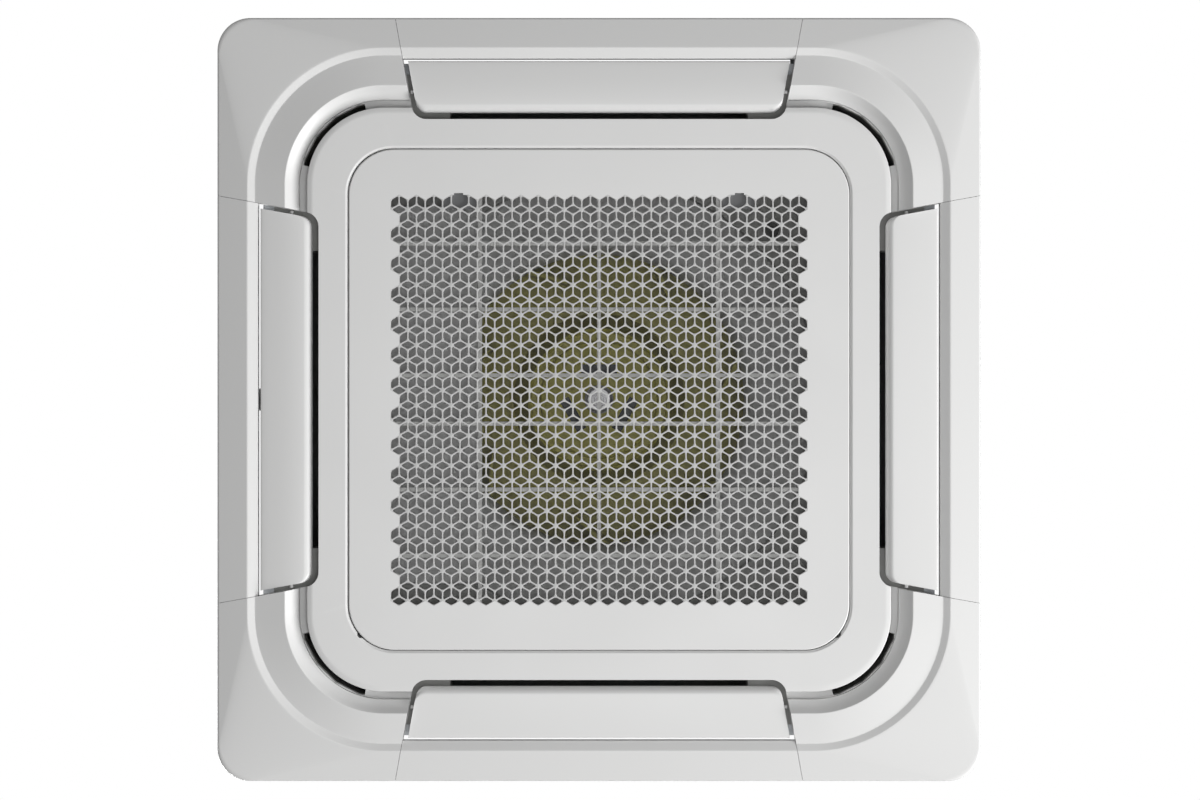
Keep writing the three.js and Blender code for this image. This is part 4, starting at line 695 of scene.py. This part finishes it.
ring = bmesh.new()
loft(ring, eased(RING_SECTION), closed=True)
bmesh.ops.recalc_face_normals(ring, faces=ring.faces)
for turn in range(4):
    notch = vane_gap_knife()
    turn_all(notch, turn)
    cut_away(ring, notch)
for side in (-1, 1):
    relief = bmesh.new()
    box(relief, (RELIEF_X[0], RELIEF_Y[0], RELIEF_BOTTOM), (RELIEF_X[1], RELIEF_Y[1], KNIFE_HIGH))
    bmesh.ops.scale(relief, vec=(side, 1, 1), verts=relief.verts)
    bmesh.ops.recalc_face_normals(relief, faces=relief.faces)
    cut_away(ring, relief)
join_into(frame_skin, ring)
print("ring and rails:", len(frame_skin.faces), "faces")

# %% Frame
frame_top = packed_copy("panel_frame")
trim(frame_top, (0, 0, FRAME_BOTTOM + 0.1), (0, 0, -1), fill=False)
join_into(frame_skin, frame_top)
finish_piece("panel_frame_skin", frame_skin, "root", panel_white, ["panel_frame"])

# %% [markdown]
# ## Vanes
# A vane is a long flap with a rounded inner edge and rounded inner corners. Its face bows out a
# little, and two webs behind it carry the pins that it turns on. The same outline is drawn at a row
# of stations along the flap and the stations are bridged: near an end each station is narrower than
# the last, which rounds the corner, and all of them lean with the slanted seam. A plain extrusion would
# leave square ends, and rounding those by a bevel would bend the thin edge too.

# %% Vanes
VANE_OUT, VANE_IN, VANE_AXIS = 421, 356.6, 383
VANE_AXIS_Z = -8
VANE_END_GAP = 5.9
VANE_NOSE = 10.5
VANE_FACE = -21
VANE_CORNER = 11
VANE_WEB = 8
WEB_HALF, WEB_LOW, WEB_HIGH = 1.5, -17.5, -5
PIN_RADIUS, PIN_LENGTH, PIN_PAST_WEB = 2.4, 14, 5
BOW_STEPS, NOSE_STEPS, END_STEPS = 8, 12, 8


def outline_loop(bm, points):
    """A closed loop of edges through these points."""
    corners = [bm.verts.new(point) for point in points]
    return [bm.edges.new(pair) for pair in zip(corners, corners[1:] + corners[:1])]


def skin_over(bm, loops):
    """Bridges a row of loops and closes both ends."""
    for low, high in zip(loops, loops[1:]):
        bmesh.ops.bridge_loops(bm, edges=low + high)
    bmesh.ops.edgeloop_fill(bm, edges=loops[0])
    bmesh.ops.edgeloop_fill(bm, edges=loops[-1])
    bmesh.ops.recalc_face_normals(bm, faces=bm.faces)


def vane_section():
    """Points (out, z) round the vane's section, from its outer top edge along the face."""
    nose_x, nose_z = VANE_IN + VANE_NOSE, VANE_FACE + VANE_NOSE
    points = [(VANE_OUT, -12.2), (VANE_OUT, -16.2), (VANE_OUT - 0.8, -17.2), (VANE_OUT - 3, -17.8)]
    for step in range(1, BOW_STEPS):
        share = step / BOW_STEPS
        points.append((VANE_OUT - 3 - share * 50.9, -17.8 - 3.2 * math.sin(share * QUARTER)))
    for step in range(NOSE_STEPS + 1):
        angle = -QUARTER - step / NOSE_STEPS * (QUARTER + 0.5)
        points.append((nose_x + VANE_NOSE * math.cos(angle), nose_z + VANE_NOSE * math.sin(angle)))
    return points + [(VANE_IN + 5.5, nose_z + 0.5), (VANE_IN + 8, -14), (nose_x + 6, -15.6), (400, -14.5)]


def vane_stations():
    """(distance in from the end, how much of the width is left) along one half of a vane."""
    width = VANE_OUT - VANE_IN
    rows = []
    for step in range(END_STEPS + 1):
        angle = step / END_STEPS * QUARTER
        rows.append((VANE_CORNER * (1 - math.cos(angle)), 1 - VANE_CORNER * (1 - math.sin(angle)) / width))
    return rows


section = vane_section()
for turn, side in enumerate(SIDES):
    vane = bmesh.new()
    loops = []
    ends = [(-1, *row) for row in vane_stations()] + [(1, *row) for row in reversed(vane_stations())]
    for end, inset, share in ends:
        points = []
        for out, z in section:
            squeezed = VANE_OUT - (VANE_OUT - out) * share
            along = SEAM_AT_LIP - VANE_END_GAP + SEAM_SLANT * (squeezed - LIP_IN) - inset
            points.append((squeezed, end * along, z))
        loops.append(outline_loop(vane, points))
    skin_over(vane, loops)
    web_at = seam(VANE_AXIS) - VANE_END_GAP - VANE_WEB
    for end in (-1, 1):
        web_low = (VANE_AXIS - 11, end * web_at - WEB_HALF, WEB_LOW)
        box(vane, web_low, (VANE_AXIS + 8, end * web_at + WEB_HALF, WEB_HIGH), rounding=1)
        pin_at = Matrix.Translation((VANE_AXIS, end * (web_at + PIN_PAST_WEB), VANE_AXIS_Z))
        bmesh.ops.create_cone(
            vane, cap_ends=True, segments=24, radius1=PIN_RADIUS, radius2=PIN_RADIUS, depth=PIN_LENGTH,
            matrix=pin_at @ Matrix.Rotation(QUARTER, 4, "X"),
        )
    turn_all(vane, turn)
    finish_piece(f"vane_{side}_skin", vane, f"vane_{side}_body", vane_white, [f"vane_{side}"])

# %% [markdown]
# ## Intake grille
# The grille is a sheet of hexagons, each split by a three-armed spoke into three rhombic openings.
# The openings could be cut out of a plate one by one, but hundreds of cuts are slow and leave long thin
# triangles. So one hexagon is drawn with its spoke, the inset round its three openings gives the webs,
# and it is extruded and copied into rows, and the rows into the sheet. The sheet's zigzag edge is
# then filled out to the plain border.

# %% Hexagon sheet
DOOR_HALF = 311.2
DOOR_TOP = -19
HEX_PITCH = 21.61
HEX_SIDE = HEX_PITCH / math.sqrt(3)
HEX_COLUMNS, HEX_ROWS = 24, 13
HEX_CENTRE_Y = 1.0
WEB_CREST, WEB_SHOULDER, WEB_ROUNDING = 0.4, 0.5, 1.7
SHOULDER_DEPTH = 0.2


def spoke_angle(edge, hub):
    """The whole number of degrees at which a spoke leaves the cell's middle."""
    way = edge.other_vert(hub).co
    return round(math.degrees(math.atan2(way.y, way.x)))


def corners_of(geom):
    """The vertices among the results of an operator."""
    return [part for part in geom if isinstance(part, bmesh.types.BMVert)]


cell = bmesh.new()
bmesh.ops.create_circle(cell, cap_ends=True, segments=6, radius=HEX_SIDE)
bmesh.ops.poke(cell, faces=cell.faces[:])
hub = min(cell.verts, key=lambda corner: corner.co.length)
dropped = [edge for edge in hub.link_edges if spoke_angle(edge, hub) % 120 != 30]   # keeps three
bmesh.ops.dissolve_edges(cell, edges=dropped, use_verts=False)
openings = cell.faces[:]
bmesh.ops.inset_individual(cell, faces=openings, thickness=WEB_CREST, use_even_offset=True)
bmesh.ops.inset_individual(cell, faces=openings, thickness=WEB_SHOULDER, use_even_offset=True)
inner = [corner for face in openings for corner in face.verts]
bmesh.ops.bevel(
    cell, geom=inner, offset=WEB_ROUNDING, segments=1, profile=0.5, affect="VERTICES", material=-1,
)
openings = sorted(cell.faces, key=lambda face: -face.calc_area())[:3]
bmesh.ops.delete(cell, geom=openings, context="FACES_ONLY")
sheet = bmesh.ops.extrude_face_region(cell, geom=cell.faces[:])["geom"]
bmesh.ops.translate(cell, vec=(0, 0, DOOR_TOP - RING_BOTTOM), verts=corners_of(sheet))
bmesh.ops.recalc_face_normals(cell, faces=cell.faces)
apothem = HEX_PITCH / 2
walls = [face for face in cell.faces if abs(face.normal.z) < 0.1]
outside = [face for face in walls if face.calc_center_median().xy.length > apothem - 0.2]
rims = {corner for face in walls if face not in outside for corner in face.verts if corner.co.z < 1}
bmesh.ops.translate(cell, vec=(0, 0, SHOULDER_DEPTH), verts=list(rims))
bmesh.ops.delete(cell, geom=outside, context="FACES")
bmesh.ops.translate(cell, vec=(0, 0, RING_BOTTOM), verts=cell.verts)
print("one cell:", len(cell.faces), "faces")


# %% Sheet of cells
def row_of(mesh, count, pitch, along):
    """A mesh with a number of copies of another in a row, centred."""
    bm = bmesh.new()
    for place in range(count):
        part = bmesh.new()
        part.from_mesh(mesh)
        shift = (place - (count - 1) / 2) * pitch
        bmesh.ops.translate(part, vec=Vector(along) * shift, verts=part.verts)
        join_into(bm, part)
    made = bpy.data.meshes.new("row")
    bm.to_mesh(made)
    bm.free()
    return made


pattern = bpy.data.meshes.new("cell")
cell.to_mesh(pattern)
cell.free()
wide_row = row_of(pattern, HEX_COLUMNS, HEX_PITCH, (1, 0, 0))
narrow_row = row_of(pattern, HEX_COLUMNS - 1, HEX_PITCH, (1, 0, 0))
wide_rows = row_of(wide_row, HEX_ROWS + 1, HEX_SIDE * 3, (0, 1, 0))
narrow_rows = row_of(narrow_row, HEX_ROWS, HEX_SIDE * 3, (0, 1, 0))
grille = bmesh.new()
grille.from_mesh(wide_rows)
grille.from_mesh(narrow_rows)
for mesh in (pattern, wide_row, narrow_row, wide_rows, narrow_rows):
    bpy.data.meshes.remove(mesh)
bmesh.ops.translate(grille, vec=(0, HEX_CENTRE_Y, 0), verts=grille.verts)
bmesh.ops.remove_doubles(grille, verts=grille.verts, dist=0.02)
print("sheet of cells:", len(grille.faces), "faces")

# %% Border of the grille
rim_section = [
    (DOOR_HALF - 1.6, 55.4, RING_BOTTOM), (DOOR_HALF - 1.0, 56, RING_BOTTOM + 0.1),
    (DOOR_HALF - 0.3, 56.7, RING_BOTTOM + 0.7), (DOOR_HALF, DOOR_CORNER, RING_BOTTOM + 1.6),
    (DOOR_HALF, DOOR_CORNER, DOOR_TOP - 0.1), (DOOR_HALF - 1.6, 55.4, DOOR_TOP),
]
border = bmesh.new()
loft(border, rim_section)
join_into(grille, border)
for height in (RING_BOTTOM, DOOR_TOP):
    boundary = [edge for edge in grille.edges if edge.is_boundary]
    open_edges = [edge for edge in boundary if abs(edge.verts[0].co.z - height) < 0.01]
    bmesh.ops.triangle_fill(grille, use_beauty=True, use_dissolve=False, edges=open_edges)
bmesh.ops.recalc_face_normals(grille, faces=grille.faces)
print("open edges left:", sum(edge.is_boundary for edge in grille.edges))

# %% [markdown]
# Above each catch two openings are one, with a notch for a finger in the border. These two places and
# the slots for the hinge arms are cut out of the finished sheet. The lattice's faces are shaded by
# their neighbours on the real part, so they take a slightly darker white than the border: painted shade.

# %% Catch openings and hinge slots
TOP_ROW_Y = -HEX_ROWS * HEX_SIDE * 1.5 + HEX_CENTRE_Y
CATCH_OPENING = [
    (-9.5, -11.4), (-4, -12), (-4, -14.3), (7.3, -14.3), (7.3, -12), (9.5, -11.4), (9.5, -0.8), (0, 4.7),
    (-9.5, -0.8),
]
CATCH_X, CATCH_KNIFE = 172.9, (-30, -10)
HINGE_X, HINGE_SLOT_HALF, HINGE_SLOT_Y, HINGE_SLOT_Z = 200, 6, (283, 294.1), (-20.6, -10)
LATTICE_HALF, LATTICE_LARGEST = 262, 40          # its reach, and its largest face in square mm

knives = bmesh.new()
for side in (-1, 1):
    loops = []
    for height in CATCH_KNIFE:
        points = [(side * (CATCH_X + x), TOP_ROW_Y + y, height) for x, y in CATCH_OPENING]
        loops.append(outline_loop(knives, points))
    skin_over(knives, loops)
    box(
        knives, (side * HINGE_X - HINGE_SLOT_HALF, HINGE_SLOT_Y[0], HINGE_SLOT_Z[0]),
        (side * HINGE_X + HINGE_SLOT_HALF, HINGE_SLOT_Y[1], HINGE_SLOT_Z[1]),
    )
cut_away(grille, knives)
for face in grille.faces:
    middle = face.calc_center_median()
    inside = abs(middle.x) < LATTICE_HALF and abs(middle.y) < LATTICE_HALF
    # index 1 gives the lattice's small faces the darker white of painted shade
    face.material_index = int(inside and face.calc_area() < LATTICE_LARGEST)
skirt = packed_copy("intake_grille")
trim(skirt, (0, 0, DOOR_TOP + 0.05), (0, 0, -1), fill=False)
join_into(grille, skirt)
door = finish_piece("intake_grille_skin", grille, "grille", panel_white, ["intake_grille"])
door.data.materials.append(lattice_painted_shade)

# %% [markdown]
# ## Bell mouth and fan
# Both are turned shapes, so one profile is spun a full turn, which keeps them round where a stack of
# cylinders would show steps. The fan's seven backward-curved blades stand between its dished hub and
# its shroud, and three slots round the boss let air cool the motor. The throat's edge is rolled.


# %% Turned shapes
def turned(bm, profile, steps=96):
    """A closed profile of (radius, z) points spun a full turn about Z."""
    before = set(bm.verts)
    corners = [bm.verts.new((radius, 0, z)) for radius, z in profile]
    edges = [bm.edges.new(pair) for pair in zip(corners, corners[1:] + corners[:1])]
    bmesh.ops.spin(
        bm, geom=corners + edges, cent=(0, 0, 0), axis=(0, 0, 1), angle=2 * math.pi, steps=steps,
        use_merge=True,
    )
    made = [corner for corner in bm.verts if corner not in before]
    bmesh.ops.remove_doubles(bm, verts=made, dist=0.001)
    bmesh.ops.recalc_face_normals(bm, faces=bm.faces)


def curve_through(points, steps=6):
    """Softens the inner corners of a run of (radius, z) points."""
    soft = [Vector(points[0])]
    for before, corner, after in zip(points, points[1:], points[2:]):
        start = Vector(before).lerp(Vector(corner), 0.5)
        end = Vector(corner).lerp(Vector(after), 0.5)
        for step in range(steps + 1):
            share = step / steps
            soft.append(start.lerp(Vector(corner), share).lerp(Vector(corner).lerp(end, share), share))
    return soft + [Vector(points[-1])]


# %% Bell mouth
THROAT, BELL_RADIUS, BELL_Z, BELL_FACE, BELL_TOP = 183.5, 275.5, 40.5, 43, 78
bell = bmesh.new()
inner_roll = curve_through([
    (THROAT + 42, BELL_Z), (THROAT + 12, BELL_Z), (THROAT + 2, 58), (THROAT, BELL_TOP),
])
outer_roll = curve_through([
    (THROAT + 2.5, BELL_TOP), (THROAT + 5, 60), (THROAT + 15, BELL_FACE), (THROAT + 43, BELL_FACE),
])
turned(bell, inner_roll + outer_roll + [(BELL_RADIUS, BELL_FACE), (BELL_RADIUS, BELL_Z)])
finish_piece("bell_mouth_skin", bell, "root", grey_plastic, ["bell_mouth"])

# %% Fan hub and shroud
FAN_RADIUS, FAN_BACK, FAN_WALL = 245.5, 235, 3
HUB_Z, HUB_RADIUS, BOSS_Z, BOSS_RADIUS = 124, 74, 118, 18.4
COOLING_SLOTS, SLOT_HALF, SLOT_Y = 3, 23, (-45, -32)
SHROUD_Z, SHROUD_IN = 70, 189.5


def turn_share(bm, turn, count):
    """Turns everything by a number of equal shares of a full turn."""
    share = Matrix.Rotation(turn * 2 * math.pi / count, 3, "Z")
    bmesh.ops.rotate(bm, cent=(0, 0, 0), matrix=share, verts=bm.verts)


wheel = bmesh.new()
turned(wheel, [
    (BOSS_RADIUS - 4, HUB_Z - 1), (HUB_RADIUS - 2, HUB_Z), (HUB_RADIUS, HUB_Z + 1),
    (HUB_RADIUS + 2, HUB_Z + 7), (HUB_RADIUS + 12, HUB_Z + 7), (HUB_RADIUS + 14, HUB_Z + 2),
    (HUB_RADIUS + 17, HUB_Z + 3), (112, FAN_BACK), (FAN_RADIUS, FAN_BACK),
    (FAN_RADIUS, FAN_BACK + FAN_WALL), (109, FAN_BACK + FAN_WALL), (HUB_RADIUS + 12, HUB_Z + 10),
    (HUB_RADIUS, HUB_Z + 10), (HUB_RADIUS - 3, HUB_Z + 3), (BOSS_RADIUS - 4, HUB_Z + 3),
])
slots = bmesh.new()
for turn in range(COOLING_SLOTS):
    slot = bmesh.new()
    box(slot, (-SLOT_HALF, SLOT_Y[0], HUB_Z - 6), (SLOT_HALF, SLOT_Y[1], HUB_Z + 9))
    turn_share(slot, turn, COOLING_SLOTS)
    join_into(slots, slot)
cut_away(wheel, slots)
turned(wheel, [
    (SHROUD_IN, SHROUD_Z), (192, SHROUD_Z), (194.5, SHROUD_Z + 17), (203, SHROUD_Z + 27),
    (217.5, SHROUD_Z + 33), (FAN_RADIUS, SHROUD_Z + 46), (FAN_RADIUS, SHROUD_Z + 49),
    (215.5, SHROUD_Z + 36), (200, SHROUD_Z + 29), (192.5, SHROUD_Z + 20),
])
print("hub and shroud:", len(wheel.faces), "faces")

# %% Fan blades
BLADES, BLADE_IN, BLADE_OUT, BLADE_SWEEP = 7, 150.5, 244.5, 0.62
BLADE_HEIGHTS, BLADE_STEPS = (112, 236), 12
THIN_HALF, THICK_HALF = 1.0, 3.6


def blade_outline(height):
    """Points round one blade's section at a height, thickest near its inner edge."""
    front, back = [], []
    for step in range(BLADE_STEPS + 1):
        share = step / BLADE_STEPS
        radius = BLADE_IN + (BLADE_OUT - BLADE_IN) * share
        angle = -BLADE_SWEEP * share ** 0.8
        half = THIN_HALF + THICK_HALF * math.sin(math.pi * min(share * 1.15, 1)) ** 0.7
        way = Matrix.Rotation(angle, 3, "Z")
        front.append(way @ Vector((radius, half, height)))
        back.append(way @ Vector((radius, -half, height)))
    return front + back[::-1]


for turn in range(BLADES):
    blade = bmesh.new()
    skin_over(blade, [outline_loop(blade, blade_outline(height)) for height in BLADE_HEIGHTS])
    turn_share(blade, turn, BLADES)
    join_into(wheel, blade)
finish_piece("fan_wheel_skin", wheel, "fan", olive, ["fan_wheel"])

# %% [markdown]
# The boss is a metal insert in the hub, with a groove round its seat. A hexagon nut holds the wheel on
# the motor's shaft. The nut is a six-sided cone with both ends alike, its edges bevelled and its
# bore cut out, and the washer under it stays as it is packed.

# %% Boss and nut
BORE_RADIUS = 6.3
boss = bmesh.new()
turned(boss, [
    (BORE_RADIUS, BOSS_Z + 5), (12.6, BOSS_Z + 5), (13.2, BOSS_Z + 4.4), (15.6, BOSS_Z + 4.4),
    (16, BOSS_Z + 0.6), (16.6, BOSS_Z), (BOSS_RADIUS - 0.6, BOSS_Z), (BOSS_RADIUS, BOSS_Z + 0.6),
    (BOSS_RADIUS, HUB_Z + 9), (BORE_RADIUS, HUB_Z + 9),
], steps=64)
finish_piece("fan_boss_skin", boss, "fan", light_grey)

NUT_RADIUS, NUT_LOW, NUT_HIGH = 11, 106.5, 116
nut = bmesh.new()
bmesh.ops.create_cone(
    nut, cap_ends=True, segments=6, radius1=NUT_RADIUS, radius2=NUT_RADIUS, depth=NUT_HIGH - NUT_LOW,
    matrix=Matrix.Translation((0, 0, (NUT_LOW + NUT_HIGH) / 2)),
)
bmesh.ops.bevel(
    nut, geom=nut.edges[:], offset=0.8, segments=2, profile=0.5, affect="EDGES", material=-1,
)
bore = bmesh.new()
bmesh.ops.create_cone(
    bore, cap_ends=True, segments=32, radius1=BORE_RADIUS, radius2=BORE_RADIUS, depth=40,
    matrix=Matrix.Translation((0, 0, 111)),
)
cut_away(nut, bore)
finish_piece("fan_nut_skin", nut, "fan", steel, ["fan_nut"])
